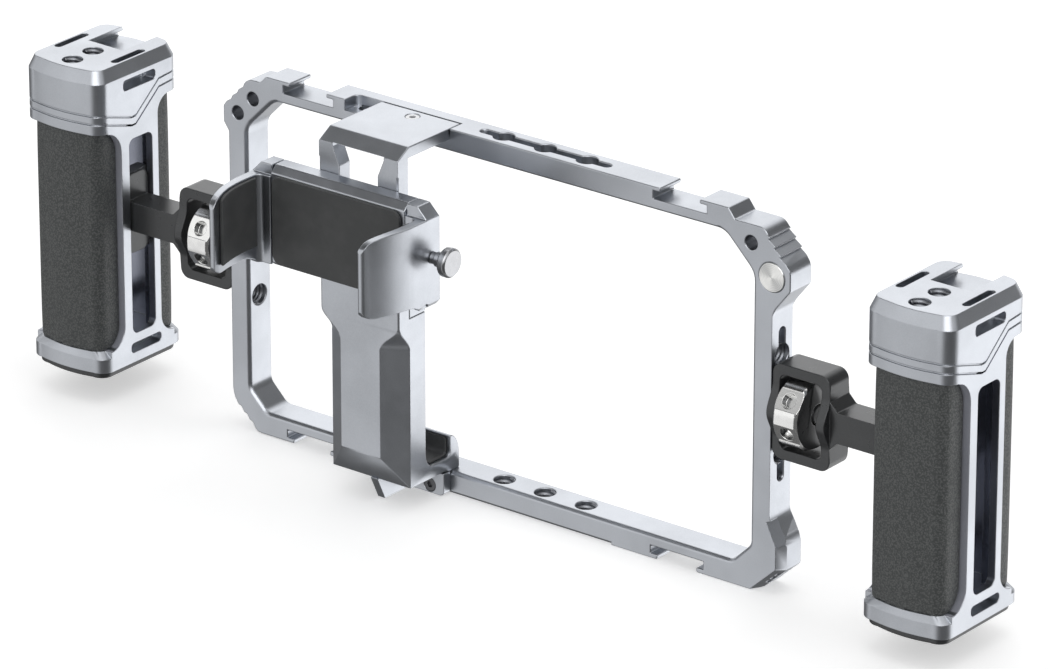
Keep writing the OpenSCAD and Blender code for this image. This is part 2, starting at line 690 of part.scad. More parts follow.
module mount(arm_l) {
    foot_x = half_w + house_w + arm_l + foot_in;
    color("#3a3b3c") difference() {
        union() {
            intersection() {
                translate([house_x, 0, 0]) along_x(house_w) cheek_outline();
                along_y(30) mount_front();
            }
            translate([half_w + house_w - 1, -mount_t / 2, mid_z - arm_h / 2])
                cube([arm_l + window_wall + 1, mount_t, arm_h]);
            // Flares at the arm's root
            along_y(mount_t) translate([half_w + house_w, mid_z]) polygon([
                [-1, -arm_h / 2 - root], [0, -arm_h / 2 - root], [root, -arm_h / 2],
                [root, arm_h / 2], [0, arm_h / 2 + root], [-1, arm_h / 2 + root]]);
            // Foot that slides in the handle's window
            translate([foot_x + (window_wall - foot_in) / 2, 0, mid_z]) along_x(window_wall - foot_in)
                round_rect(foot_w, foot_h, 3);
            // Bosses on the foot, let into the slide bar
            for (s = [-1, 1])
                translate([foot_x - foot_in + window_wall + boss_l / 2 - 0.2, 0, mid_z + s * bar_screw_z])
                    rod_x(boss_d, boss_l + 0.4);
        }
        // Window for the thumb wheel
        translate([half_w + window_in + house_window / 2, 0, mid_z]) along_y(40)
            round_rect(house_window, wheel_d + 4 * slide_gap, 2);
        // Way for the stud towards the cage
        translate([half_w, 0, mid_z]) rod_x(stud_d + 4 * bore_gap, 2 * window_in + 2);
        // Blind threads in the bosses for the slide bar's screws
        for (s = [-1, 1])
            translate([foot_x - foot_in + window_wall + boss_l / 2, 0, mid_z + s * bar_screw_z])
                rod_x(M3, boss_l + 0.6);
        // Seats of the locating pins
        for (s = [-1, 1]) translate([half_w, 0, mid_z + s * pin_z]) rod_x(pin_d, 4);
    }
}

// Rib and flat cut round the thumb wheel, with tommy-bar holes in the flats
module wheel(phase) {
    holes = 6;
    color("#c9cacc") translate([wheel_x, 0, mid_z]) rotate([phase, 0, 0]) difference() {
        intersection() {
            rod_x(wheel_d, wheel_w);
            rotate([0, 90, 0]) rotate_extrude() polygon([
                [0, -wheel_w / 2], [wheel_d / 2 - 0.8, -wheel_w / 2], [wheel_d / 2, -wheel_w / 2 + 0.8],
                [wheel_d / 2, wheel_w / 2 - 0.8], [wheel_d / 2 - 0.8, wheel_w / 2], [0, wheel_w / 2]]);
        }
        rod_x(stud_d + 2 * bore_gap, wheel_w + 2);
        for (i = [0:holes - 1]) rotate([i * 360 / holes, 0, 0]) {
            translate([0, -wheel_d / 2 - 4.2, 0]) cube([wheel_w + 2, 10, 6.4], center = true);
            translate([0, -wheel_d / 2, 0]) rod_y(wheel_hole_d, 6);
        }
    }
}

module stud() {
    color("#aeb0b3") {
        tip = half_w - column_t + 1;
        back = wheel_x + wheel_w / 2;
        translate([(tip + back) / 2, 0, mid_z]) rod_x(stud_d, back - tip);
    }
}

module locating_pins() {
    color("#8f9194") for (s = [-1, 1]) translate([half_w, 0, mid_z + s * pin_z]) rod_x(pin_d, 4);
}

// Bar inside the handle that the foot is screwed to, through the window
module slide_bar(arm_l) {
    bar_x = half_w + house_w + arm_l + window_wall + slide_gap + bar_t / 2;
    color("#2f3032") difference() {
        union() {
            translate([bar_x, 0, mid_z]) along_x(bar_t) round_rect(bar_w, foot_h, 2);
            translate([bar_x - bar_t / 2 - slide_gap / 2, 0, mid_z]) along_x(slide_gap)
                round_rect(foot_w, foot_h, 3);
        }
        for (s = [-1, 1]) translate([bar_x, 0, mid_z + s * bar_screw_z]) {
            rod_x(M3 + 0.2, bar_t + 4);
            translate([bar_t / 2, 0, 0]) rod_x(6, 3.4);
            translate([-bar_t / 2 - slide_gap, 0, 0]) rod_x(boss_d + 2 * bore_gap, 2 * boss_l + 0.2);
        }
    }
}

module bar_screws(arm_l) {
    bar_x = half_w + house_w + arm_l + window_wall + slide_gap + bar_t;
    color("#5c5e61") for (s = [-1, 1]) translate([bar_x, 0, mid_z + s * bar_screw_z]) difference() {
        union() {
            translate([-0.7, 0, 0]) rod_x(5.6, 2);
            translate([-2.35, 0, 0]) rod_x(M3 - 0.1, 4.3);
        }
        translate([0.3, 0, 0]) rotate([0, 90, 0]) cylinder(d = 2.6, h = 1.6, center = true, $fn = 6);
    }
}

// Handles, drawn about their own middle in X

// Plan of the handle at a given inset from the side faces and from the crowned faces
module handle_plan(side_inset, end_inset) {
    w = handle_w - 2 * side_inset;
    d = handle_d - 2 * end_inset;
    half_chord = w / 2 - corner_r;
    r = (half_chord * half_chord + crown * crown) / (2 * crown);
    translate([0, handle_y]) {
        round_rect(w, d, corner_r - end_inset / 2);
        for (s = [-1, 1]) intersection() {
            translate([0, s * (d / 2 + crown - r)]) circle(r, $fn = 256);
            // Wider than the chord, so that the arc dips into the plain outline
            translate([0, s * (d / 2)]) square([2 * half_chord + 1, 2 * crown + 2], center = true);
        }
    }
}

// Thin slice of the handle's plan, at a height and at given insets
module plan_slice(z, side_inset, end_inset) {
    translate([0, 0, z]) linear_extrude(height = 0.02) handle_plan(side_inset, end_inset, $fn = 32);
}

// Area of a leather grip seen from the side, in depth and height
function front_grip_area() = let (r = 7.5, q = front_low_r) concat(
    [[-handle_d, cap_low]], arc([grip_front_y - r, cap_low - r], r, 90, 0),
    arc([grip_front_y - q, base_high + q], q, 0, -90), [[-handle_d, base_high]]);

function rear_grip_area() = let (r = 5.2, q = rear_low_r) concat(
    [[handle_d, rear_cap_low]], arc([grip_rear_y + r, rear_cap_low - r], r, 90, 180),
    arc([grip_rear_y + q, rear_base_high + q], q, 180, 270), [[handle_d, rear_base_high]]);

// Sloped lip that runs down from the leather's lower edge, in front (-1) or behind (1)
module lip_cut(side, edge_z, from_y) {
    difference() {
        translate([-handle_w, side < 0 ? from_y - handle_d : from_y, edge_z - lip_h])
            cube([2 * handle_w, handle_d, lip_h + 0.02]);
        hull() {
            plan_slice(edge_z - lip_h - 0.02, 0, 0);
            plan_slice(edge_z, grip_inset, 1);
        }
    }
}

// Two engraved lines that run round the cap and dip on its side faces
module cap_lines() {
    dip = [[-handle_d, -13.85], [-16.35, -13.85], [-3.85, -17.65], [-1.95, -17.55], [8.75, -8.95],
        [14.05, -8.55], [handle_d, -8.55]];
    for (low = [0, 2.6]) difference() {
        along_x(2 * handle_w) for (i = [0:len(dip) - 2]) {
            run = dip[i + 1] - dip[i];
            translate([dip[i][0], handle_top + dip[i][1] - low]) rotate(atan2(run[1], run[0]))
                translate([0, -line_w / 2]) square([norm(run), line_w]);
        }
        translate([0, 0, cap_low]) linear_extrude(height = 20) handle_plan(line_deep, line_deep);
    }
}

module handle() {
    shell_low = handle_bottom + base_t;
    bevel_z = 3.9;
    bevel_in = 1.6;
    flange_z = 6;
    color("#b4b7bd") difference() {
        union() {
            translate([0, 0, shell_low]) linear_extrude(height = handle_top - bevel_z - shell_low)
                handle_plan(0, 0);
            hull() {
                plan_slice(handle_top - bevel_z - 0.02, 0, 0);
                plan_slice(handle_top - 0.02, bevel_in, bevel_in);
            }
        }
        // Recesses for the leather, each with its lip
        difference() {
            along_x(2 * handle_w) union() {
                polygon(front_grip_area());
                polygon(rear_grip_area());
            }
            translate([0, 0, handle_bottom - cut]) linear_extrude(height = handle_h)
                handle_plan(grip_inset + leather_t, 1 + leather_t);
        }
        lip_cut(-1, base_high, grip_front_y - front_low_r);
        lip_cut(1, rear_base_high, grip_rear_y + rear_low_r);
        // Hollow behind the windows and inside the core
        translate([0, 0, window_z]) {
            cube([2 * channel_half_x, 2 * channel_half_y, window_h + 5], center = true);
            translate([0, handle_y, 0])
                cube([2 * core_half - 4.4, handle_d - 10.3, window_h + 5], center = true);
        }
        // Slide windows
        translate([0, 0, window_z]) along_x(2 * handle_w) round_rect(window_w, window_h, 2.2);
        // Threaded holes in the cap
        for (i = [0, 1]) translate([0, cap_hole_y + i * cap_hole_pitch, handle_top - 12])
            cylinder(d = thread_d, h = 13);
        // Strap slots from the top into the side faces, and through the base band
        for (s = [-1, 1]) {
            translate([s * (handle_w / 2 - 3.65), handle_y - 0.5, handle_top - 8.6])
                linear_extrude(height = 10) round_rect(strap_t, strap_w, strap_t / 2 - 0.01);
            translate([s * (handle_w / 2 - 1.2), handle_y + 0.15, handle_top - 6.95])
                along_x(5.2) round_rect(strap_w + 0.4, 3.3, 1.2);
            translate([s * handle_w / 2, handle_y + 1, handle_bottom + 6.9])
                along_x(7) round_rect(strap_w - 0.5, 3, 1.2);
        }
        // Cold shoe, open to the rear
        translate([0, handle_y + handle_d / 2 - 4.4, handle_top]) shoe_cut(24);
        cap_lines();
        for (s = [-1, 1]) translate([0, handle_y + s * base_screw_y, handle_bottom])
            cylinder(d = M3, h = base_t + 5);
    }
}

module grip(area_points) {
    intersection() {
        along_x(2 * handle_w) polygon(area_points);
        translate([0, 0, handle_bottom]) difference() {
            linear_extrude(height = handle_h) handle_plan(grip_inset, 1);
            translate([0, 0, -1]) linear_extrude(height = handle_h + 2)
                handle_plan(grip_inset + leather_t, 1 + leather_t);
        }
    }
}

module base_plate() {
    color("#2f3032") difference() {
        translate([0, 0, handle_bottom]) linear_extrude(height = base_t) handle_plan(1.3, 1.3);
        for (s = [-1, 1]) translate([0, handle_y + s * base_screw_y, handle_bottom - cut]) {
            cylinder(d = M3 + 0.2, h = base_t + 1);
            cylinder(d = 5.8, h = 1.2 + cut);
        }
    }
}

module base_screws() {
    color("#5c5e61") for (s = [-1, 1])
        translate([0, handle_y + s * base_screw_y, handle_bottom]) difference() {
            union() {
                cylinder(d = 5.6, h = 1.2);
                cylinder(d = M3, h = base_t + 4);
            }
            translate([0, 0, -1]) cylinder(d = 2, h = 2, $fn = 6);
        }
}

// Right side
module right_mount() { mount(right_arm); }
module right_wheel() { wheel(24); }
module right_stud() { stud(); }
module right_locating_pins() { locating_pins(); }
module right_slide_bar() { slide_bar(right_arm); }
module right_bar_screws() { bar_screws(right_arm); }
module right_handle() { translate([right_handle_x, 0, 0]) handle(); }
module right_front_grip() { color("#3b3d3b") translate([right_handle_x, 0, 0]) grip(front_grip_area()); }
module right_rear_grip() { color("#3b3d3b") translate([right_handle_x, 0, 0]) grip(rear_grip_area()); }
module right_base_plate() { translate([right_handle_x, 0, 0]) base_plate(); }
module right_base_screws() { translate([right_handle_x, 0, 0]) base_screws(); }

// Left side
module left_mount() { left_side() mount(left_arm); }
module left_wheel() { left_side() wheel(30); }
module left_stud() { left_side() stud(); }
module left_locating_pins() { left_side() locating_pins(); }
module left_slide_bar() { left_side() slide_bar(left_arm); }
module left_bar_screws() { left_side() bar_screws(left_arm); }
module left_handle() { translate([left_handle_x, 0, 0]) handle(); }
module left_front_grip() { color("#3b3d3b") translate([left_handle_x, 0, 0]) grip(front_grip_area()); }
module left_rear_grip() { color("#3b3d3b") translate([left_handle_x, 0, 0]) grip(rear_grip_area()); }
module left_base_plate() { translate([left_handle_x, 0, 0]) base_plate(); }
module left_base_screws() { translate([left_handle_x, 0, 0]) base_screws(); }

cage_frame();
ear_disc();
bracket();
plate_screw();
rear_block();
block_screws();
latch_plate();
latch_screw();
hook_pad();
clamp_body();
back_pad();
right_jaw();
right_jaw_pad();
left_jaw();
left_jaw_pad();
clamp_screw();
sleeve_nut();
guide_rods();
left_mount();
left_wheel();
left_stud();
left_locating_pins();
left_slide_bar();
left_bar_screws();
left_handle();
left_front_grip();
left_rear_grip();
left_base_plate();
left_base_screws();
right_mount();
right_wheel();
right_stud();
right_locating_pins();
right_slide_bar();
right_bar_screws();
right_handle();
right_front_grip();
right_rear_grip();
right_base_plate();
right_base_screws();
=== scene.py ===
"""Looks of the smartphone video rig: cage, phone clamp on its bracket, and two side handles.

Every machined piece is its solid with broken edges, each thread is cut as a helix, and the
leather is a softly crowned skin. All places are in metres, in the same frame as the solids.
"""

from __future__ import annotations

import json
import logging
import math
from dataclasses import dataclass, field
from enum import Enum
from typing import Any, Callable

import bmesh
import bpy
from mathutils import Matrix, Vector
from mathutils.bvhtree import BVHTree
from mathutils.kdtree import KDTree

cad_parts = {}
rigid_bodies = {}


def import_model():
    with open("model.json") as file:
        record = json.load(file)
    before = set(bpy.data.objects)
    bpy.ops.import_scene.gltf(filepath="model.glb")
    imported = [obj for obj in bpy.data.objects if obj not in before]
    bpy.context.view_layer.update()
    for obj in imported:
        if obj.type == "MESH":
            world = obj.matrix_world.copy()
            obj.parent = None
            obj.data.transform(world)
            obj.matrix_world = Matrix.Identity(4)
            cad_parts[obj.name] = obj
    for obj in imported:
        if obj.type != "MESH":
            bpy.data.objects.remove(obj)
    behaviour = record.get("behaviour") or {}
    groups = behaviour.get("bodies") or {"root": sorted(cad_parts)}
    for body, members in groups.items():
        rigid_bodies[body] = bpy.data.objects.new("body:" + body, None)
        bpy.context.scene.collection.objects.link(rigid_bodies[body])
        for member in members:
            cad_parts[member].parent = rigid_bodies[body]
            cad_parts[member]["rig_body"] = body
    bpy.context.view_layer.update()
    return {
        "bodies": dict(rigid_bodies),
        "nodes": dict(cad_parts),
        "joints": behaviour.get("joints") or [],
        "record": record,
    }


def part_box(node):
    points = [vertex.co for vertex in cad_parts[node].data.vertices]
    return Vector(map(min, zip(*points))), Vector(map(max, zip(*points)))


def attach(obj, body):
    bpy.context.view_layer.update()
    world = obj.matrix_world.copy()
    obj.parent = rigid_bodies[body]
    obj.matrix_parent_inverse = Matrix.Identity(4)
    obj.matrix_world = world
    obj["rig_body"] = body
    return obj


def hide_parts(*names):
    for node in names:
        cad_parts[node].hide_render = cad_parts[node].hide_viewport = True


LOG = logging.getLogger("video_rig")
MM = 0.001
Piece = bpy.types.Object
Material = bpy.types.Material
WorkMesh = bmesh.types.BMesh
Colour = tuple[float, float, float]
WHITE: Colour = (1.0, 1.0, 1.0)
DARKER, LIGHTER = 0.93, 1.05  # how far a metal's colour wanders over a piece
SMOOTHLY = {"interpolation_type": "SMOOTHSTEP"}


def mm(*values: float) -> Vector:
    """Turns three lengths in millimetres into a vector in metres."""
    return Vector(values) * MM


def middle_of(box: tuple[Vector, Vector]) -> Vector:
    """Middle of a box that is given by its lowest and highest corner."""
    return (box[0] + box[1]) / 2


def toned(colour: Colour, share: float) -> Colour:
    """Makes a colour darker or lighter by a share, up to full white."""
    return tuple(min(1.0, share * part) for part in colour)


def put_in_scene(name: str, data: Any) -> Piece:
    """Makes an object of its data and puts it in the scene.

    Args:
        name: Name of the object.
        data: Its mesh, light or camera.

    Returns:
        The object, at the origin.
    """
    thing = bpy.data.objects.new(name, data)
    bpy.context.scene.collection.objects.link(thing)
    return thing


def place_mesh(work: WorkMesh, place: Vector, axis: Axis) -> None:
    """Moves a mesh that was made about Z to its place, and lays its Z along an axis."""
    bmesh.ops.transform(work, matrix=Matrix.Translation(place) @ axis.turn(), verts=work.verts)


class Slot(Enum):
    """Material slots of the record."""

    GREY = "grey_anodised"
    BLACK = "black_anodised"
    STEEL = "bright_steel"
    DARK_STEEL = "dark_steel"
    RUBBER = "black_rubber"
    LEATHER = "black_leather"


class Side(Enum):
    """The two sides of the rig, with the sign of their X."""

    LEFT = -1
    RIGHT = 1

    @property
    def word(self) -> str:
        """Name of the side, as the nodes begin with it."""
        return self.name.lower()


class Axis(Enum):
    """Directions that a turned piece or a thread may lie along."""

    X = "X"
    Y = "Y"
    Z = "Z"

    def turn(self) -> Matrix:
        """Rotation that lays Z along this axis, or against it for Y."""
        if self is Axis.X:
            return Matrix.Rotation(math.pi / 2, 4, "Y")
        if self is Axis.Y:
            return Matrix.Rotation(math.pi / 2, 4, "X")
        return Matrix.Identity(4)


class Value:
    """One socket of a node tree, on which arithmetic adds the Math nodes."""

    def __init__(self, graph: Graph, socket: Any) -> None:
        """Keeps the tree and one output socket of a node in it."""
        self.graph = graph
        self.socket = socket

    def maths(self, operation: str, *others: Any) -> Value:
        """Adds a Math node of this operation, with this value as its first operand."""
        return self.graph.maths(operation, self, *others)

    def __add__(self, other: Any) -> Value:
        """Sum of two values."""
        return self.maths("ADD", other)

    __radd__ = __add__

    def __sub__(self, other: Any) -> Value:
        """Difference of two values."""
        return self.maths("SUBTRACT", other)

    def __rsub__(self, other: Any) -> Value:
        """Difference from a number."""
        return self.graph.maths("SUBTRACT", other, self)

    def __mul__(self, other: Any) -> Value:
        """Product of two values."""
        return self.maths("MULTIPLY", other)

    __rmul__ = __mul__

    def __truediv__(self, other: Any) -> Value:
        """Quotient of two values."""
        return self.maths("DIVIDE", other)

    def __rtruediv__(self, other: Any) -> Value:
        """Quotient of a number and this value."""
        return self.graph.maths("DIVIDE", other, self)

    def __pow__(self, other: Any) -> Value:
        """Power of a value."""
        return self.maths("POWER", other)

    def __rpow__(self, other: Any) -> Value:
        """Power of a number."""
        return self.graph.maths("POWER", other, self)

    def ease(self, low: float, high: float) -> Value:
        """Rises smoothly from 0 where this value is low to 1 where it is high."""
        sockets = {"Value": self, "From Min": low, "From Max": high}
        return self.graph.value("Result", "ShaderNodeMapRange", SMOOTHLY, sockets)


class Graph:
    """Node tree of a material or of the world, with its output."""

    def __init__(self, owner: Any, output: str) -> None:
        """Starts an empty tree.

        Args:
            owner: Material or world that the tree belongs to.
            output: Type of its output node.
        """
        owner.use_nodes = True
        self.owner = owner
        self.tree = owner.node_tree
        self.tree.nodes.clear()
        self.output = self.node(output)

    @classmethod
    def of_material(cls, name: str) -> Graph:
        """Starts an empty material of this name."""
        return cls(bpy.data.materials.new(name), "ShaderNodeOutputMaterial")

    @classmethod
    def of_world(cls, name: str) -> Graph:
        """Starts an empty world of this name."""
        return cls(bpy.data.worlds.new(name), "ShaderNodeOutputWorld")

    def node(
        self,
        kind: str,
        settings: dict[str, Any] | None = None,
        sockets: dict[Any, Any] | None = None,
    ) -> Any:
        """Makes any node: its type, then its settings, then its sockets.

        Args:
            kind: Type of the node.
            settings: Attributes of the node.
            sockets: Values or links of the inputs, by name or number.

        Returns:
            The node.
        """
        node = self.tree.nodes.new(kind)
        for key, value in (settings or {}).items():
            setattr(node, key, value)
        for key, value in (sockets or {}).items():
            if isinstance(value, Value):
                self.tree.links.new(value.socket, node.inputs[key])
            else:
                node.inputs[key].default_value = value
        return node

    def value(
        self,
        output: str | int,
        kind: str,
        settings: dict[str, Any] | None = None,
        sockets: dict[Any, Any] | None = None,
    ) -> Value:
        """Makes a node as above and takes one of its outputs, by name or number."""
        return Value(self, self.node(kind, settings, sockets).outputs[output])

    def maths(self, operation: str, *operands: Any) -> Value:
        """Adds a Math node of this operation on numbers or values."""
        settings = {"operation": operation}
        return self.value(0, "ShaderNodeMath", settings, dict(enumerate(operands)))

    def place(self) -> Value:
        """Place on the piece, in metres."""
        return self.value("Object", "ShaderNodeTexCoord")

    def moved(self, centre: Vector, axis: Axis) -> Value:
        """Place on the piece from a centre, with an axis laid along Z.

        Args:
            centre: New origin.
            axis: Axis that becomes Z.

        Returns:
            The moved place.
        """
        back = axis.turn().inverted()
        sockets = {
            "Vector": self.place(),
            "Location": tuple(-(back @ centre)),
            "Rotation": tuple(back.to_euler()),
        }
        return self.value("Vector", "ShaderNodeMapping", {"vector_type": "POINT"}, sockets)

    def parts(self, vector: Value) -> tuple[Value, Value, Value]:
        """Splits a vector into its three numbers."""
        node = self.node("ShaderNodeSeparateXYZ", None, {0: vector})
        return tuple(Value(self, node.outputs[axis]) for axis in "XYZ")

    def noise(self, size: float, detail: float, vector: Value | None = None) -> Value:
        """Soft noise about 0.5, with spots of a size in metres and a number of finer layers."""
        sockets = {"Vector": vector or self.place(), "Scale": 1.0 / size, "Detail": detail}
        return self.value("Fac", "ShaderNodeTexNoise", None, sockets)

    def cells(self, size: float, feature: str, vector: Value | None = None) -> Value:
        """Distance within a pattern of cells, whose size is in metres."""
        sockets = {"Vector": vector or self.place(), "Scale": 1.0 / size}
        return self.value("Distance", "ShaderNodeTexVoronoi", {"feature": feature}, sockets)

    def blend(self, amount: Any, first: Any, second: Any) -> Value:
        """Mixes two colours.

        Args:
            amount: 0 for the first, 1 for the second.
            first: First colour.
            second: Second colour.

        Returns:
            The mixed colour.
        """
        colours = [c if isinstance(c, Value) else (*c, 1.0) for c in (first, second)]
        settings = {"data_type": "RGBA", "clamp_factor": True}
        sockets = {0: amount, 6: colours[0], 7: colours[1]}
        return self.value(2, "ShaderNodeMix", settings, sockets)

    def dot(self, vector: Value, other: Any) -> Value:
        """Dot product of a vector and another, or three numbers."""
        settings = {"operation": "DOT_PRODUCT"}
        return self.value("Value", "ShaderNodeVectorMath", settings, {0: vector, 1: other})

    def rounded(self, radius: float) -> Value:
        """Normal of the surface with its edges rounded to a radius in metres."""
        return self.value("Normal", "ShaderNodeBevel", {"samples": 6}, {"Radius": radius})

    def edges(self, rounded: Value) -> Value:
        """Nearness of an edge: 0 on a flat, rising towards 1 where the rounded normal turns."""
        return 1.0 - self.dot(rounded, self.value("Normal", "ShaderNodeNewGeometry"))

    def bump(
        self, height: Value, depth: float, strength: float, normal: Value | None = None
    ) -> Value:
        """Turns a height into a normal.

        Args:
            height: Height between 0 and 1.
            depth: Height of 1 in metres.
            strength: How strongly it shows.
            normal: Normal that it starts from, the surface's own by default.

        Returns:
            The bent normal.
        """
        sockets = {"Strength": strength, "Distance": depth, "Height": height}
        if normal is not None:
            sockets["Normal"] = normal
        return self.value("Normal", "ShaderNodeBump", None, sockets)

    def close(self, shader: Any) -> Any:
        """Leads a shader's node to the output and gives back the material or world."""
        self.tree.links.new(shader.outputs[0], self.output.inputs["Surface"])
        return self.owner

    def surface(self, **sockets: Any) -> Material:
        """Closes the material with its shader, whose inputs are named with _ for a space."""
        named = {key.replace("_", " "): value for key, value in sockets.items()}
        return self.close(self.node("ShaderNodeBsdfPrincipled", None, named))


@dataclass(frozen=True)
class AnodisedMetal:
    """Bead-blasted metal with an anodised skin, lighter along its edges from polish and a painted
    highlight.
    """

    name: str
    colour: Colour
    edge_colour: Colour
    metallic: float = 1.0
    roughness: float = 0.34
    blast_mm: float = 0.28
    blast_depth_mm: float = 0.006
    edge_mm: float = 0.3
    # how much lighter the edges get, partly from wear and partly as a painted highlight
    wear: float = 0.35
    speckle: float = 0.08
    cloud_mm: float = 26.0
    rub_mm: float = 3.1

    def build(self) -> Material:
        """Makes the material."""
        graph = Graph.of_material(self.name)
        cloud = graph.noise(self.cloud_mm * MM, 3.0)
        blast = graph.noise(self.blast_mm * MM, 2.0)
        rub = graph.noise(self.rub_mm * MM, 4.0)
        rounded = graph.rounded(self.edge_mm * MM)
        edge = graph.edges(rounded).ease(0.02, 0.22)
        shades = (toned(self.colour, share) for share in (DARKER, LIGHTER))
        skin = graph.blend(cloud.ease(0.35, 0.65), *shades)
        speck = graph.blend(blast.ease(0.42, 0.6) * self.speckle, skin, self.edge_colour)
        # edges lighter in patches: partly polished by wear, partly a painted highlight
        worn = edge * rub.ease(0.25, 0.55)
        return graph.surface(
            Base_Color=graph.blend(worn * self.wear, speck, self.edge_colour),
            Metallic=self.metallic,
            Roughness=self.roughness + (rub - 0.5) * 0.10 - edge * 0.10,
            Normal=graph.bump(blast, self.blast_depth_mm * MM, 0.5, rounded),
        )


@dataclass(frozen=True)
class TurnedSteel:
    """Bright steel with the fine rings that a lathe leaves round an axis.

    With a fan shade above 0, two opposite fans of its rings take a painted shadow, as on a faced
    disc.
    """

    name: str
    centre: Vector
    axis: Axis = Axis.X
    colour: Colour = (0.80, 0.80, 0.795)
    roughness: float = 0.2
    ring_mm: float = 0.34
    ring_depth_mm: float = 0.004
    # strength of the painted shadow in two fans and in the rings
    glint: float = 0.0
    edge_mm: float = 0.2
    smear_mm: float = 2.2
    # colour of the painted highlight along the edges
    bright_edge: Colour = (0.92, 0.92, 0.92)
    # colour of that painted shadow
    shadow: Colour = (0.34, 0.345, 0.35)
    fan_share: float = 0.6
    ring_share: float = 0.35

    def build(self) -> Material:
        """Makes the material."""
        graph = Graph.of_material(self.name)
        across, up, along = graph.parts(graph.moved(self.centre, self.axis))
        radius = (across * across + up * up) ** 0.5
        rings = ((radius + along) * (2 * math.pi / (self.ring_mm * MM))).maths("SINE")
        fan = across * up * 2.0 / (radius * radius + 1e-9)  # sine of twice the angle
        # painted shade: two dark fans and the rings, standing for light on a faced disc
        fan_ring_painted_shade = self.fan_share - fan * self.fan_share - rings * self.ring_share
        smear = graph.noise(self.smear_mm * MM, 3.0)
        rounded = graph.rounded(self.edge_mm * MM)
        edge = graph.edges(rounded).ease(0.03, 0.3)
        tone = graph.blend(smear.ease(0.3, 0.7), toned(self.colour, DARKER), self.colour)
        # painted highlight along the edges
        with_edge_highlight = graph.blend(edge * 0.6, tone, self.bright_edge)
        return graph.surface(
            Base_Color=graph.blend(fan_ring_painted_shade * self.glint, with_edge_highlight, self.shadow),
            Metallic=1.0,
            Roughness=self.roughness + smear * 0.04 + rings * 0.02,
            Normal=graph.bump(rings * 0.5 + 0.5, self.ring_depth_mm * MM, 0.35, rounded),
        )


@dataclass(frozen=True)
class BlackenedSteel:
    """Dark steel of the socket screws, rubbed bright where a key turns."""

    name: str = "blackened_steel"
    colour: Colour = (0.11, 0.112, 0.118)
    rubbed: Colour = (0.34, 0.34, 0.35)
    roughness: float = 0.34
    grain_mm: float = 0.5
    grain_depth_mm: float = 0.008
    edge_mm: float = 0.2

    def build(self) -> Material:
        """Makes the material."""
        graph = Graph.of_material(self.name)
        grain = graph.noise(self.grain_mm * MM, 3.0)
        edge = graph.edges(graph.rounded(self.edge_mm * MM)).ease(0.03, 0.3)
        return graph.surface(
            Base_Color=graph.blend(edge * grain.ease(0.2, 0.6), self.colour, self.rubbed),
            Metallic=1.0,
            Roughness=self.roughness + (grain - 0.5) * 0.2,
            Normal=graph.bump(grain, self.grain_depth_mm * MM, 0.4),
        )


@dataclass(frozen=True)
class MouldedRubber:
    """Matt black rubber with a fine moulded tooth."""

    name: str = "moulded_rubber"
    colour: Colour = (0.050, 0.052, 0.053)
    # grey of the dust and of the painted highlight along the edges
    dusty: Colour = (0.085, 0.086, 0.087)
    roughness: float = 0.62
    tooth_mm: float = 0.42
    tooth_depth_mm: float = 0.03
    dust_mm: float = 7.0
    edge_mm: float = 0.4

    def build(self) -> Material:
        """Makes the material."""
        graph = Graph.of_material(self.name)
        tooth = graph.cells(self.tooth_mm * MM, "F1")
        dust = graph.noise(self.dust_mm * MM, 4.0)
        edge = graph.edges(graph.rounded(self.edge_mm * MM)).ease(0.03, 0.4)
        tone = graph.blend(dust.ease(0.35, 0.75) * 0.5, self.colour, self.dusty)
        return graph.surface(
            # painted highlight along the edges
            Base_Color=graph.blend(edge * 0.7, tone, self.dusty),
            Roughness=self.roughness + (dust - 0.5) * 0.16,
            Normal=graph.bump(1.0 - tooth, self.tooth_depth_mm * MM, 0.4),
        )


@dataclass(frozen=True)
class GrainedLeather:
    """Black leather with a fine, soft grain that wanders over the hide."""

    name: str = "grained_leather"
    colour: Colour = (0.102, 0.107, 0.106)
    # colour of the painted shade in the grain's hollows
    crease: Colour = (0.044, 0.048, 0.048)
    rubbed: Colour = (0.125, 0.130, 0.127)
    grain_mm: float = 0.46
    grain_depth_mm: float = 0.17
    wander_mm: float = 0.7
    swirls_per_m: float = 420.0
    ripple_mm: float = 0.5
    hide_mm: float = 18.0
    roughness: float = 0.6

    def build(self) -> Material:
        """Makes the material."""
        graph = Graph.of_material(self.name)
        sockets = {"Vector": graph.place(), "Scale": self.swirls_per_m}
        swirl = graph.value("Color", "ShaderNodeTexNoise", None, sockets)
        settings = {"operation": "MULTIPLY_ADD"}
        sockets = {0: swirl, 1: (self.wander_mm * MM,) * 3, 2: graph.place()}
        place = graph.value("Vector", "ShaderNodeVectorMath", settings, sockets)
        domes = 1.0 - graph.cells(self.grain_mm * MM, "SMOOTH_F1", place)
        ripples = graph.noise(self.ripple_mm * MM, 2.0, place)
        hide = graph.noise(self.hide_mm * MM, 3.0)
        relief = domes * 0.6 + ripples * 0.4
        # painted shade: the grain's hollows darker than its domes
        tone = graph.blend(relief.ease(0.45, 0.71), self.crease, self.colour)
        worn = hide.ease(0.45, 0.75) * relief.ease(0.55, 0.8) * 0.25
        return graph.surface(
            Base_Color=graph.blend(worn, tone, self.rubbed),
            Roughness=self.roughness + (hide - 0.5) * 0.14 - relief * 0.08,
            Normal=graph.bump(relief, self.grain_depth_mm * MM, 0.8),
            Sheen_Weight=0.06,
            Sheen_Roughness=0.5,
        )


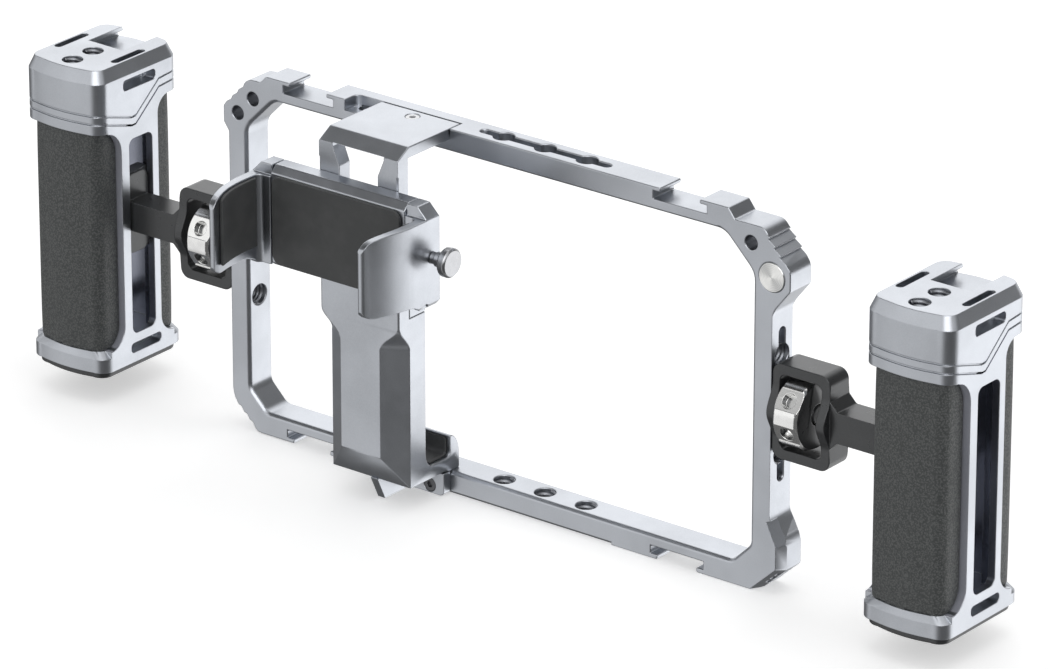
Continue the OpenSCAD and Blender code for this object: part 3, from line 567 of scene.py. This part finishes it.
class Workshop:
    """Finishes and ways of work that every sub-assembly draws on."""

    crisp_deg = 27.0  # an edge that turns by more is broken
    rounded_deg = 50.0  # beside a broken edge, shading is smooth up to this angle
    upright_share = 0.99  # an edge stands upright where Z makes up this share of it
    joined_mm, sliver_mm, flat_deg = 0.002, 0.001, 0.7  # what merging takes for one
    bevel_rounds = 10  # each round leaves out the corners where the last one strayed
    stray_share = 0.55  # distance from the solid, in widths, past which a corner strays
    near_mm = 2.5  # a stray corner counts for its neighbour too along a shorter edge
    tight_share = 1.6  # an edge is left out where its end is this near, in widths
    fold_area = 1e-9  # in square metres, below which a fold doesn't show

    def __init__(self, frame: dict[str, Any]) -> None:
        """Builds the shared finishes.

        Args:
            frame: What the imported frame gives.
        """
        self.nodes: dict[str, Piece] = frame["nodes"]
        self.body_of = {name: node["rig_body"] for name, node in self.nodes.items()}
        self.grey = AnodisedMetal(
            "grey_anodised", (0.444, 0.463, 0.497), (0.76, 0.785, 0.82), wear=0.15
        ).build()
        # painted shade: a darker copy of the grey for threads and strap holes
        self.shaded_grey = AnodisedMetal(
            "grey_anodised_recess", (0.30, 0.31, 0.335), (0.62, 0.63, 0.65), roughness=0.42
        ).build()
        self.black = AnodisedMetal(
            "black_anodised",
            (0.064, 0.066, 0.068),
            (0.34, 0.345, 0.35),
            metallic=0.55,
            roughness=0.29,
            blast_depth_mm=0.003,
            wear=0.6,
            speckle=0.02,
        ).build()
        # painted shade: a darker, bluer, glossier copy of the grey for the handles' hollows
        self.recess = AnodisedMetal(
            "navy_recess",
            (0.30, 0.315, 0.375),
            (0.5, 0.51, 0.56),
            metallic=0.9,
            roughness=0.2,
            blast_depth_mm=0.002,
        ).build()
        self.bar_black = AnodisedMetal(
            "slide_bar_black",
            (0.13, 0.134, 0.142),
            (0.4, 0.41, 0.42),
            metallic=0.5,
            speckle=0.02,
        ).build()
        self.bar_screw_steel = BlackenedSteel(
            "rubbed_steel", (0.55, 0.56, 0.58), (0.8, 0.8, 0.82)
        ).build()
        # painted shade: a darker, bluer, duller copy of the grey for the walls round the leather
        self.wall_grey = AnodisedMetal(
            "grey_grip_wall", (0.34, 0.35, 0.40), (0.70, 0.71, 0.74), metallic=0.25, roughness=0.5
        ).build()
        self.dark_steel = BlackenedSteel().build()
        self.rubber = MouldedRubber().build()
        self.leather = GrainedLeather().build()

    def add(
        self,
        name: str,
        work: WorkMesh,
        finish: Material,
        slot: Slot,
        body: str,
        smooth_deg: float = 20.0,
        upright_deg: float = 90.0,
    ) -> Piece:
        """Turns a worked mesh into a piece that rides on a body, and logs it.

        Args:
            name: Name of the piece.
            work: Its mesh, which is freed.
            finish: Its material.
            slot: Slot of the record for its finish; not used.
            body: Body that it rides on.
            smooth_deg: Angle past which an edge stays sharp.
            upright_deg: The same for edges that stand upright, where it is smaller.

        Returns:
            The piece.
        """
        for face in work.faces:
            face.smooth = True
        for edge in work.edges:
            rounded = any(face.tag for face in edge.link_faces)
            run = edge.verts[1].co - edge.verts[0].co
            limit = self.rounded_deg if rounded else smooth_deg
            if abs(run.z) > self.upright_share * run.length and not rounded:
                limit = min(limit, upright_deg)
            turn = math.degrees(edge.calc_face_angle(0.0))
            edge.smooth = len(edge.link_faces) == 2 and turn < limit
        mesh = bpy.data.meshes.new(name)
        work.to_mesh(mesh)
        work.free()
        mesh.materials.append(finish)
        piece = put_in_scene(name, mesh)
        even = piece.modifiers.new("even_shading", "WEIGHTED_NORMAL")
        even.keep_sharp = True
        even.use_face_influence = True
        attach(piece, body)
        LOG.info("%s: %d faces", piece.name, len(mesh.polygons))
        return piece

    def merged(self, node: str) -> WorkMesh:
        """Copies a solid's mesh with its corners joined and its flats whole.

        Args:
            node: Name of the solid.

        Returns:
            The mesh to work on.
        """
        work = bmesh.new()
        work.from_mesh(self.nodes[node].data)
        bmesh.ops.remove_doubles(work, verts=work.verts, dist=self.joined_mm * MM)
        bmesh.ops.dissolve_degenerate(work, dist=self.sliver_mm * MM, edges=work.edges)
        bmesh.ops.dissolve_limit(
            work, angle_limit=math.radians(self.flat_deg), verts=work.verts, edges=work.edges
        )
        return work

    def break_edges(
        self, work: WorkMesh, width_mm: float, steps: int, tight: KDTree | None = None
    ) -> None:
        """Bevels the crisp edges of a mesh, apart from those at tight corners.

        Args:
            work: The mesh.
            width_mm: Width of the bevel in millimetres.
            steps: Number of faces across it.
            tight: Points beside which there is no room for the bevel.
        """
        reach = self.tight_share * width_mm * MM
        crisp = [
            edge
            for edge in work.edges
            if len(edge.link_faces) == 2
            and edge.calc_face_angle(0.0) > math.radians(self.crisp_deg)
            and not (tight and any(tight.find(vert.co)[2] < reach for vert in edge.verts))
        ]
        made = bmesh.ops.bevel(
            work,
            geom=crisp,
            offset=width_mm * MM,
            offset_type="OFFSET",
            segments=steps,
            profile=0.5,
            affect="EDGES",
            clamp_overlap=False,
            material=-1,
            face_strength_mode="ALL",
        )
        for face in work.faces:
            face.tag = False
        for face in made["faces"]:
            face.tag = True

    def folded(self, work: WorkMesh) -> list[bmesh.types.BMVert]:
        """Finds the corners where a face folds over itself.

        Args:
            work: The mesh.

        Returns:
            The corners of each triangle that looks the other way than its face.
        """
        work.normal_update()
        corners = []
        for loops in work.calc_loop_triangles():
            a, b, c = (loop.vert.co for loop in loops)
            across = (b - a).cross(c - a)
            if across.length > 2 * self.fold_area and across.dot(loops[0].face.normal) < 0:
                corners += [loop.vert for loop in loops]
        return corners

    def dressed_where(
        self, piece: Piece, finish: Material, chosen: Callable[[Vector, Vector], bool]
    ) -> None:
        """Gives some faces of a piece a second finish.

        Args:
            piece: The piece.
            finish: The second finish.
            chosen: Says from a face's middle and normal whether it takes that finish.
        """
        piece.data.materials.append(finish)
        for face in piece.data.polygons:
            if chosen(face.center, face.normal):
                face.material_index = len(piece.data.materials) - 1

    def broken(self, node: str, width_mm: float, steps: int) -> WorkMesh:
        """Copies a solid with its edges broken, wherever the bevel stays on its surface.

        Args:
            node: Name of the solid.
            width_mm: Width of the bevel in millimetres.
            steps: Number of faces across it.

        Returns:
            The bevelled mesh.
        """
        plain = bmesh.new()
        plain.from_mesh(self.nodes[node].data)
        surface = BVHTree.FromBMesh(plain)
        plain.free()
        tight_points: list[Vector] = []
        for _ in range(self.bevel_rounds):
            work = self.merged(node)
            tight = KDTree(len(tight_points)) if tight_points else None
            for number, point in enumerate(tight_points):
                tight.insert(point, number)
            if tight:
                tight.balance()
            self.break_edges(work, width_mm, steps, tight)
            allowed = self.stray_share * width_mm * MM
            stray = [vert for vert in work.verts if surface.find_nearest(vert.co)[3] > allowed]
            stray += self.folded(work)
            if not stray:
                return work
            for vert in stray:
                tight_points.append(vert.co.copy())
                tight_points += [
                    edge.other_vert(vert).co.copy()
                    for edge in vert.link_edges
                    if edge.calc_length() < self.near_mm * MM
                ]
            work.free()
        return self.merged(node)

    def machined(
        self,
        node: str,
        finish: Material,
        slot: Slot,
        width_mm: float,
        steps: int = 2,
        upright_deg: float = 90.0,
    ) -> Piece:
        """Dresses a solid: the same form with broken edges and its finish.

        Args:
            node: Name of the solid.
            finish: Its material.
            slot: Its slot in the record.
            width_mm: Width of the broken edge.
            steps: Number of faces across the broken edge.
            upright_deg: Angle past which an upright edge stays sharp.

        Returns:
            The piece that stands for the solid.
        """
        work = self.broken(node, width_mm, steps)
        piece = self.add(
            f"{node}.machined", work, finish, slot, self.body_of[node], upright_deg=upright_deg
        )
        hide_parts(node)
        return piece


@dataclass
class Thread:
    """Helical thread form, cut as one ridge that winds along an axis."""

    pitch_mm: float = 1.27
    outer_mm: float = 3.14
    inner_mm: float = 2.62
    half_share: float = 0.47  # half of the ridge's foot, in pitches
    flat_share: float = 0.07  # half of its crest
    facets: int = 28
    smooth_deg: float = 50.0

    def wound(self, length_mm: float, ridge_in: bool) -> WorkMesh:
        """Winds the ridge about Z, from z = 0 upwards.

        Args:
            length_mm: Length of the thread.
            ridge_in: Whether the crest points to the axis, as in a tapped hole.

        Returns:
            The closed ridge.
        """
        work = bmesh.new()
        root, crest = (
            (self.outer_mm, self.inner_mm) if ridge_in else (self.inner_mm, self.outer_mm)
        )
        half = self.pitch_mm * self.half_share
        flat = self.pitch_mm * self.flat_share
        form = [(root, 0.0), (crest, half - flat), (crest, half + flat), (root, 2 * half)]
        corners = [work.verts.new(mm(r, 0, z)) for r, z in form]
        rim = [work.edges.new((a, b)) for a, b in zip(corners, corners[1:] + corners[:1])]
        turns = (length_mm - 2 * half) / self.pitch_mm
        steps = max(8, round(turns * self.facets))
        bmesh.ops.spin(
            work,
            geom=corners + rim,
            axis=(0, 0, 1),
            cent=(0, 0, 0),
            dvec=(0, 0, turns * self.pitch_mm * MM / steps),
            angle=turns * 2 * math.pi,
            steps=steps,
            use_merge=False,
        )
        loose = [edge for edge in work.edges if len(edge.link_faces) == 1]
        bmesh.ops.edgeloop_fill(work, edges=loose)
        bmesh.ops.recalc_face_normals(work, faces=work.faces)
        return work

    def tapped(
        self, shop: Workshop, name: str, mouth: Vector, axis: Axis, length_mm: float, body: str
    ) -> None:
        """Lines a tapped hole with its thread.

        Args:
            shop: Shared finishes.
            name: Name of the piece.
            mouth: Lowest point of the threaded stretch on the hole's axis.
            axis: Direction of the hole.
            length_mm: Length of the threaded stretch.
            body: Body that the hole is in.
        """
        work = self.wound(length_mm, ridge_in=True)
        place_mesh(work, mouth, axis)
        # the thread takes the darker grey, a painted shade inside the hole
        shop.add(name, work, shop.shaded_grey, Slot.GREY, body, self.smooth_deg)


@dataclass
class Cage:
    """Flat machined frame with its rails, columns, ears and tapped holes."""

    height_mm: float = 114.1
    half_width_mm: float = 98.95
    rail_mm: float = 7.2
    column_mm: float = 6.8
    slot_deep_mm: float = 2.5
    pitch_mm: float = 15.0
    edge_mm: float = 0.42
    disc_edge_mm: float = 0.25
    inset_mm: float = 0.25
    foot_inset_mm: float = 0.3
    wall_slope: float = 0.2
    strap_hole_mm: float = 4.2
    strap_margin_mm: float = 0.2
    strap_holes_mm: tuple[tuple[float, float], ...] = (  # X and Z of each
        (91.35, 105.5),
        (-95.35, 100.3),
        (-89.55, 105.9),
    )
    thread: Thread = field(default_factory=Thread)

    def build(self, shop: Workshop) -> None:
        """Builds and dresses the cage.

        Args:
            shop: Shared finishes.
        """
        frame = shop.machined("cage_frame", shop.grey, Slot.GREY, self.edge_mm)
        # the strap-hole walls take the darker grey, a painted shade
        shop.dressed_where(frame, shop.shaded_grey, self.in_strap_hole)
        turned = TurnedSteel(
            "turned_disc",
            middle_of(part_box("ear_disc")),
            Axis.Y,
            (0.90, 0.90, 0.88),
            roughness=0.16,
            ring_mm=0.5,
            ring_depth_mm=0.05,
            glint=0.55,
        )
        shop.machined("ear_disc", turned.build(), Slot.STEEL, self.disc_edge_mm)
        self.cut_threads(shop)

    def in_strap_hole(self, place: Vector, normal: Vector) -> bool:
        """Says whether a face lies in one of the strap holes of the upper ears.

        Args:
            place: Middle of the face.
            normal: Its normal.

        Returns:
            Whether it does.
        """
        level = Vector((place.x, place.z))
        reach = (self.strap_hole_mm / 2 + self.strap_margin_mm) * MM
        near = any((level - Vector(hole) * MM).length < reach for hole in self.strap_holes_mm)
        return near and abs(normal.y) < self.wall_slope

    def cut_threads(self, shop: Workshop) -> None:
        """Cuts the threads of both rails and of both columns.

        Args:
            shop: Shared finishes.
        """
        under_slot = self.rail_mm - self.slot_deep_mm - 2 * self.inset_mm
        rails = (
            ("top", self.height_mm - self.rail_mm + self.inset_mm, under_slot),
            ("bottom", self.foot_inset_mm, self.rail_mm - 2 * self.foot_inset_mm),
        )
        for number in range(3):
            for rail, level, length in rails:
                mouth = mm(number * self.pitch_mm, 0, level)
                name = f"{rail}_thread_{number + 1}"
                self.thread.tapped(shop, name, mouth, Axis.Z, length, "cage")
        length = self.column_mm - 2 * self.inset_mm
        for side in Side:
            inner = side.value * (self.half_width_mm - self.column_mm + self.inset_mm)
            start = inner if side is Side.RIGHT else inner - length
            for word, step in (("lower", -1), ("upper", 1)):
                mouth = mm(start, 0, self.height_mm / 2 + step * self.pitch_mm)
                name = f"{side.word}_column_{word}_thread"
                self.thread.tapped(shop, name, mouth, Axis.X, length, "cage")


@dataclass
class Bracket:
    """Hooked bracket with its latch, rear block, screws and pad."""

    edge_mm: float = 0.34
    plate_edge_mm: float = 0.2
    pad_edge_mm: float = 0.3
    small_edge_mm: float = 0.12

    def build(self, shop: Workshop) -> None:
        """Builds and dresses the bracket.

        Args:
            shop: Shared finishes.
        """
        for node in ("bracket", "rear_block"):
            shop.machined(node, shop.grey, Slot.GREY, self.edge_mm)
        shop.machined("latch_plate", shop.grey, Slot.GREY, self.plate_edge_mm)
        centre = middle_of(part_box("plate_screw"))
        bright = TurnedSteel(
            "plate_screw_steel", centre, Axis.Z, (0.5, 0.505, 0.515), roughness=0.24
        )
        shop.machined("plate_screw", bright.build(), Slot.STEEL, self.small_edge_mm)
        for node in ("block_screws", "latch_screw"):
            shop.machined(node, shop.dark_steel, Slot.DARK_STEEL, self.small_edge_mm)
        shop.machined("hook_pad", shop.rubber, Slot.RUBBER, self.pad_edge_mm, steps=3)


@dataclass
class PhoneClamp:
    """Padded phone clamp: body, two jaws, their pads and the screw that drives them."""

    edge_mm: float = 0.32
    pad_edge_mm: float = 0.35
    screw_edge_mm: float = 0.15

    def build(self, shop: Workshop) -> None:
        """Builds and dresses the clamp.

        Args:
            shop: Shared finishes.
        """
        for node in ("clamp_body", "right_jaw", "left_jaw"):
            shop.machined(node, shop.grey, Slot.GREY, self.edge_mm)
        for node in ("back_pad", "right_jaw_pad", "left_jaw_pad"):
            shop.machined(node, shop.rubber, Slot.RUBBER, self.pad_edge_mm, steps=3)
        centre = middle_of(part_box("clamp_screw"))
        steel = TurnedSteel(
            "turned_clamp_screw", centre, Axis.X, (0.42, 0.425, 0.44), roughness=0.26
        ).build()
        for node in ("clamp_screw", "sleeve_nut", "guide_rods"):
            shop.machined(node, steel, Slot.STEEL, self.screw_edge_mm)


@dataclass
class SideMount:
    """Black mount of one side with its thumb wheel, stud, pins and slide bar."""

    side: Side
    edge_mm: float = 0.35
    wheel_edge_mm: float = 0.16
    pin_edge_mm: float = 0.15
    bar_edge_mm: float = 0.2
    screw_edge_mm: float = 0.12
    core_edge_mm: float = 0.5
    core_margin_mm: float = 0.04
    core_facets: int = 40
    flank_slope: float = 0.8
    threaded_mm: float = 10.0
    inset_mm: float = 0.6
    black_end_mm: float = 1.0
    thread: Thread = field(default_factory=lambda: Thread(outer_mm=3.11, inner_mm=2.55))

    def build(self, shop: Workshop) -> None:
        """Builds and dresses the mount.

        Args:
            shop: Shared finishes.
        """
        word = self.side.word
        shop.machined(f"{word}_mount", shop.black, Slot.BLACK, self.edge_mm)
        centre = middle_of(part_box(f"{word}_wheel"))
        bright = TurnedSteel(
            f"{word}_wheel_steel", centre, Axis.X, (0.84, 0.84, 0.83), roughness=0.16
        ).build()
        wheel = shop.machined(f"{word}_wheel", bright, Slot.STEEL, self.wheel_edge_mm, steps=3)
        shop.dressed_where(wheel, shop.black, lambda _, normal: abs(normal.x) > self.flank_slope)
        self.cut_stud(shop)
        pins = TurnedSteel(f"{word}_pin_steel", centre, Axis.X, roughness=0.25).build()
        shop.machined(f"{word}_locating_pins", pins, Slot.STEEL, self.pin_edge_mm)
        shop.machined(f"{word}_slide_bar", shop.bar_black, Slot.BLACK, self.bar_edge_mm)
        screws = f"{word}_bar_screws"
        shop.machined(screws, shop.bar_screw_steel, Slot.DARK_STEEL, self.screw_edge_mm)

    def cut_stud(self, shop: Workshop) -> None:
        """Cuts the thread of the stud that the thumb wheel turns.

        Args:
            shop: Shared finishes.
        """
        node = f"{self.side.word}_stud"
        low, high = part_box(node)
        centre = middle_of((low, high))
        length = high.x - low.x
        radius = (self.thread.inner_mm + self.core_margin_mm) * MM
        core = bmesh.new()
        bmesh.ops.create_cone(
            core,
            cap_ends=True,
            segments=self.core_facets,
            radius1=radius,
            radius2=radius,
            depth=length,
        )
        shop.break_edges(core, self.core_edge_mm, 2)
        place_mesh(core, centre, Axis.X)
        ridge = self.thread.wound(self.threaded_mm, ridge_in=False)
        start = low.x + self.inset_mm * MM
        if self.side is Side.LEFT:
            start = high.x - (self.inset_mm + self.threaded_mm) * MM
        place_mesh(ridge, Vector((start, centre.y, centre.z)), Axis.X)
        steel = TurnedSteel(f"{node}_steel", centre, Axis.X, roughness=0.22).build()
        smooth = self.thread.smooth_deg
        shaft = shop.add(f"{node}.core", core, steel, Slot.STEEL, node, smooth)
        outer = length / 2 - self.black_end_mm * MM
        shop.dressed_where(
            shaft, shop.black, lambda at, _: (at.x - centre.x) * self.side.value > outer
        )
        wound = shop.add(f"{node}.thread", ridge, steel, Slot.STEEL, node, smooth)
        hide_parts(node)
        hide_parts(node)


@dataclass
class SideHandle:
    """Side handle: machined frame, two leather grips, base plate and its screws."""

    side: Side
    edge_mm: float = 0.16
    plate_edge_mm: float = 0.55
    screw_edge_mm: float = 0.12
    upright_deg: float = 12.0
    voxel_mm: float = 0.5
    rounding: int = 1
    crown_mm: float = 0.25
    crown_rim_share: float = 0.35
    crown_power: int = 6
    facing_least: float = 0.2
    leather_smooth_deg: float = 60.0
    cap_hole_y_mm: tuple[float, float] = (-12.95, -3.75)
    cap_hole_mm: float = 7.3
    cap_thread_mm: float = 6.9
    hollow_mm: tuple[float, float, float] = (25.0, 34.0, 74.0)
    wall_slack_mm: tuple[float, float, float] = (0.1, 1.0, 0.5)  # along X, Y and Z
    wall_slope: float = 0.3
    thread: Thread = field(default_factory=Thread)

    def build(self, shop: Workshop) -> None:
        """Builds and dresses the handle.

        Args:
            shop: Shared finishes.
        """
        word = self.side.word
        body = f"{word}_handle"
        frame = shop.machined(
            body, shop.grey, Slot.GREY, self.edge_mm, upright_deg=self.upright_deg
        )
        low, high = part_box(body)
        middle = middle_of((low, high))
        # the hollow and its walls take a painted shade
        shop.dressed_where(frame, shop.recess, lambda at, _: self.in_hollow(at - middle))
        grips = [f"{word}_{place}_grip" for place in ("front", "rear")]
        for grip in grips:
            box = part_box(grip)
            # the walls round each grip take a painted shade
            shop.dressed_where(
                frame, shop.wall_grey, lambda at, normal: self.on_grip_wall(at, normal, *box)
            )
        shop.machined(f"{word}_base_plate", shop.black, Slot.BLACK, self.plate_edge_mm, steps=3)
        screws = f"{word}_base_screws"
        shop.machined(screws, shop.dark_steel, Slot.DARK_STEEL, self.screw_edge_mm)
        for number, y in enumerate(self.cap_hole_y_mm):
            mouth = Vector((middle.x, y * MM, high.z - self.cap_hole_mm * MM))
            name = f"{body}_thread_{number + 1}"
            self.thread.tapped(shop, name, mouth, Axis.Z, self.cap_thread_mm, body)
        for grip in grips:
            self.lay_leather(shop, grip, middle)

    def in_hollow(self, place: Vector) -> bool:
        """Says whether a place, from the handle's middle, lies in the hollow or on its walls."""
        return all(abs(at) < 0.5 * size * MM for at, size in zip(place, self.hollow_mm))

    def on_grip_wall(self, place: Vector, normal: Vector, low: Vector, high: Vector) -> bool:
        """Says whether a face lies on the wall that stands round a leather grip.

        Args:
            place: Middle of the face.
            normal: Its normal.
            low: Lowest corner of the grip.
            high: Highest corner of the grip.

        Returns:
            Whether it does.
        """
        slack = mm(*self.wall_slack_mm)
        beside = place.x < low.x + slack.x or place.x > high.x - slack.x
        deep = low.y - slack.y < place.y < high.y + slack.y
        level = low.z - slack.z < place.z < high.z + slack.z
        return beside and deep and level and abs(normal.x) < self.wall_slope

    def lay_leather(self, shop: Workshop, node: str, middle: Vector) -> None:
        """Lays one leather skin: rounded at its rim and crowned across its face.

        Args:
            shop: Shared finishes.
            node: Name of the solid that it stands for.
            middle: Middle of the handle.
        """
        shell = self.remeshed(shop.merged(node), node)
        work = bmesh.new()
        work.from_mesh(shell)
        bpy.data.meshes.remove(shell)
        for _ in range(self.rounding):
            bmesh.ops.smooth_vert(
                work,
                verts=work.verts,
                factor=0.5,
                use_axis_x=True,
                use_axis_y=True,
                use_axis_z=True,
            )
        work.normal_update()
        low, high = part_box(node)
        centre_z = (low.z + high.z) / 2
        half = (high.z - low.z) / 2
        for vert in work.verts:
            out = Vector((vert.co.x - middle.x, vert.co.y - middle.y, 0.0))
            facing = vert.normal.dot(out.normalized())
            if facing > self.facing_least:
                rise = 1.0 - abs((vert.co.z - centre_z) / half) ** self.crown_power
                share = self.crown_rim_share + (1.0 - self.crown_rim_share) * rise
                vert.co += vert.normal * self.crown_mm * MM * share * facing
        skin = shop.add(
            f"{node}.leather",
            work,
            shop.leather,
            Slot.LEATHER,
            f"{self.side.word}_handle",
            self.leather_smooth_deg,
        )
        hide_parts(node)

    def remeshed(self, work: WorkMesh, name: str) -> bpy.types.Mesh:
        """Gives a mesh even faces.

        Args:
            work: The mesh, which is freed.
            name: Name of the piece.

        Returns:
            The even mesh.
        """
        mesh = bpy.data.meshes.new(name + "_plain")
        work.to_mesh(mesh)
        work.free()
        draft = put_in_scene(name + "_draft", mesh)
        even = draft.modifiers.new("even_faces", "REMESH")
        even.mode = "VOXEL"
        even.voxel_size = self.voxel_mm * MM
        graph = bpy.context.evaluated_depsgraph_get()
        result = bpy.data.meshes.new_from_object(draft.evaluated_get(graph))
        bpy.data.objects.remove(draft)
        bpy.data.meshes.remove(mesh)
        return result


@dataclass(frozen=True)
class Softbox:
    """Rectangular lamp that looks at the rig."""

    name: str
    place: tuple[float, float, float]
    width: float
    height: float
    radiance: float

    def hang(self, target: Vector) -> None:
        """Hangs the lamp.

        Args:
            target: Point that it looks at.
        """
        light = bpy.data.lights.new(self.name, "AREA")
        light.shape = "RECTANGLE"
        light.size = self.width
        light.size_y = self.height
        light.energy = self.radiance * math.pi * self.width * self.height
        lamp = put_in_scene(self.name, light)
        lamp.location = self.place
        toward = target - Vector(self.place)
        lamp.rotation_euler = toward.to_track_quat("-Z", "Y").to_euler()
        lamp.visible_camera = False
        lamp.visible_glossy = False


@dataclass(frozen=True)
class Panel:
    """White panel or black flag of the studio, round a direction from the rig.

    Its edge fades in between the angles whose cosines are outer and inner.
    """

    toward: tuple[float, float, float]
    outer: float
    inner: float
    level: float

    def shade(self, graph: Graph, towards: Value, level: Any) -> Value:
        """Lays the panel over what the metal sees so far.

        Args:
            graph: Tree of the world.
            towards: Direction of a ray.
            level: Light from that direction before.

        Returns:
            Light from that direction with the panel in place.
        """
        unit = tuple(Vector(self.toward).normalized())
        inside = graph.dot(towards, unit).ease(self.outer, self.inner)
        return level + (self.level - level) * inside


@dataclass
class Studio:
    """Plain pale floor, soft lamps and the camera."""

    ray_kinds = ("Camera", "Glossy", "Transmission")
    camera_place: tuple[float, float, float] = (1.22254, -1.55370, 0.87562)
    camera_turn_deg: tuple[float, float, float] = (67.403, 0.0, 38.033)
    lens_mm: float = 254.95
    sensor_mm: float = 36.0
    aim: tuple[float, float, float] = (0.0, 0.0, 0.06)
    ambient: float = 0.62
    floor_half: float = 6.0
    floor_drop_mm: float = 0.2
    floor_colour: Colour = (0.86, 0.86, 0.86)
    floor_glow: float = 0.42
    panels: tuple[Panel, ...] = (
        Panel((-0.50, -0.80, 0.10), 0.45, 0.85, 0.78),
        Panel((-0.57, -0.75, -0.35), 0.75, 0.95, 0.90),
        Panel((-0.50, -0.80, 0.34), 0.86, 0.95, 1.12),
        Panel((0.82, -0.48, -0.36), 0.50, 0.86, 0.14),
        Panel((0.53, 0.70, -0.52), 0.87, 0.94, 1.90),
        Panel((0.62, 0.70, 0.40), 0.78, 0.92, 0.20),
        Panel((-0.57, 0.73, 0.48), 0.82, 0.93, 1.65),
        Panel((-0.52, -0.22, 0.82), 0.84, 0.95, 0.06),
        Panel((0.52, -0.64, 0.56), 0.87, 0.95, 2.70),
        Panel((-0.92, 0.20, -0.40), 0.80, 0.93, 0.20),
        Panel((-0.30, 0.02, -0.95), 0.66, 0.88, 0.15),
    )
    lamps: tuple[Softbox, ...] = (
        Softbox("back_left_softbox", (-0.95, 1.25, 0.85), 1.4, 0.9, 1.2),
        Softbox("right_softbox", (1.45, 0.95, 0.55), 1.1, 1.0, 1.2),
        Softbox("top_softbox", (0.2, 0.1, 1.9), 1.4, 1.4, 0.9),
    )

    def build(self) -> None:
        """Sets the camera, the lamps, the world and the floor."""
        self.set_camera()
        for lamp in self.lamps:
            lamp.hang(Vector(self.aim))
        self.light_world()
        self.lay_floor()
        bpy.context.scene.view_settings.view_transform = "Standard"

    def set_camera(self) -> None:
        """Sets the camera at the photograph's place."""
        data = bpy.data.cameras.new("camera")
        data.lens = self.lens_mm
        data.sensor_width = self.sensor_mm
        camera = put_in_scene("camera", data)
        camera.location = self.camera_place
        camera.rotation_euler = tuple(math.radians(turn) for turn in self.camera_turn_deg)
        bpy.context.scene.camera = camera

    def rays(self, graph: Graph) -> list[Value]:
        """Gives 1 for the rays of each kind: from the camera, from metal, through glass."""
        path = graph.node("ShaderNodeLightPath")
        return [Value(graph, path.outputs[f"Is {kind} Ray"]) for kind in self.ray_kinds]

    def light_world(self) -> None:
        """Lights the world: white where it is seen, with its panels where metal reflects it."""
        graph = Graph.of_world("studio")
        towards = graph.value("Generated", "ShaderNodeTexCoord")
        camera, glossy, clear = self.rays(graph)
        plain = camera.maths("MAXIMUM", clear)
        mirrored = glossy * (1.0 - plain)
        level: Any = 1.0
        for panel in self.panels:
            level = panel.shade(graph, towards, level)
        strength = plain + mirrored * level + (1.0 - plain - mirrored) * self.ambient
        sockets = {"Color": (*WHITE, 1.0), "Strength": strength}
        bpy.context.scene.world = graph.close(graph.node("ShaderNodeBackground", None, sockets))

    def lay_floor(self) -> None:
        """Lays the pale floor, whose glow is only seen and lights nothing."""
        work = bmesh.new()
        bmesh.ops.create_grid(work, x_segments=4, y_segments=4, size=self.floor_half)
        mesh = bpy.data.meshes.new("floor")
        work.to_mesh(mesh)
        work.free()
        mesh.transform(Matrix.Translation(mm(0, 0, -self.floor_drop_mm)))
        graph = Graph.of_material("pale_floor")
        camera, glossy, clear = self.rays(graph)
        seen = camera.maths("MAXIMUM", glossy).maths("MAXIMUM", clear)
        sockets = {"Color": (*self.floor_colour, 1.0)}
        pale = graph.value(0, "ShaderNodeBsdfDiffuse", None, sockets)
        sockets = {"Color": (*WHITE, 1.0), "Strength": seen * self.floor_glow}
        glow = graph.value(0, "ShaderNodeEmission", None, sockets)
        both = graph.node("ShaderNodeAddShader", None, {0: pale, 1: glow})
        mesh.materials.append(graph.close(both))
        floor = put_in_scene("floor", mesh)
        floor.visible_glossy = False


def main() -> None:
    """Builds the studio and every sub-assembly, in order."""
    logging.basicConfig(level=logging.INFO, format="%(message)s")
    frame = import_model()
    Studio().build()
    shop = Workshop(frame)
    Cage().build(shop)
    Bracket().build(shop)
    PhoneClamp().build(shop)
    for side in Side:
        SideMount(side).build(shop)
        SideHandle(side).build(shop)


if __name__ == "__main__":
    main()
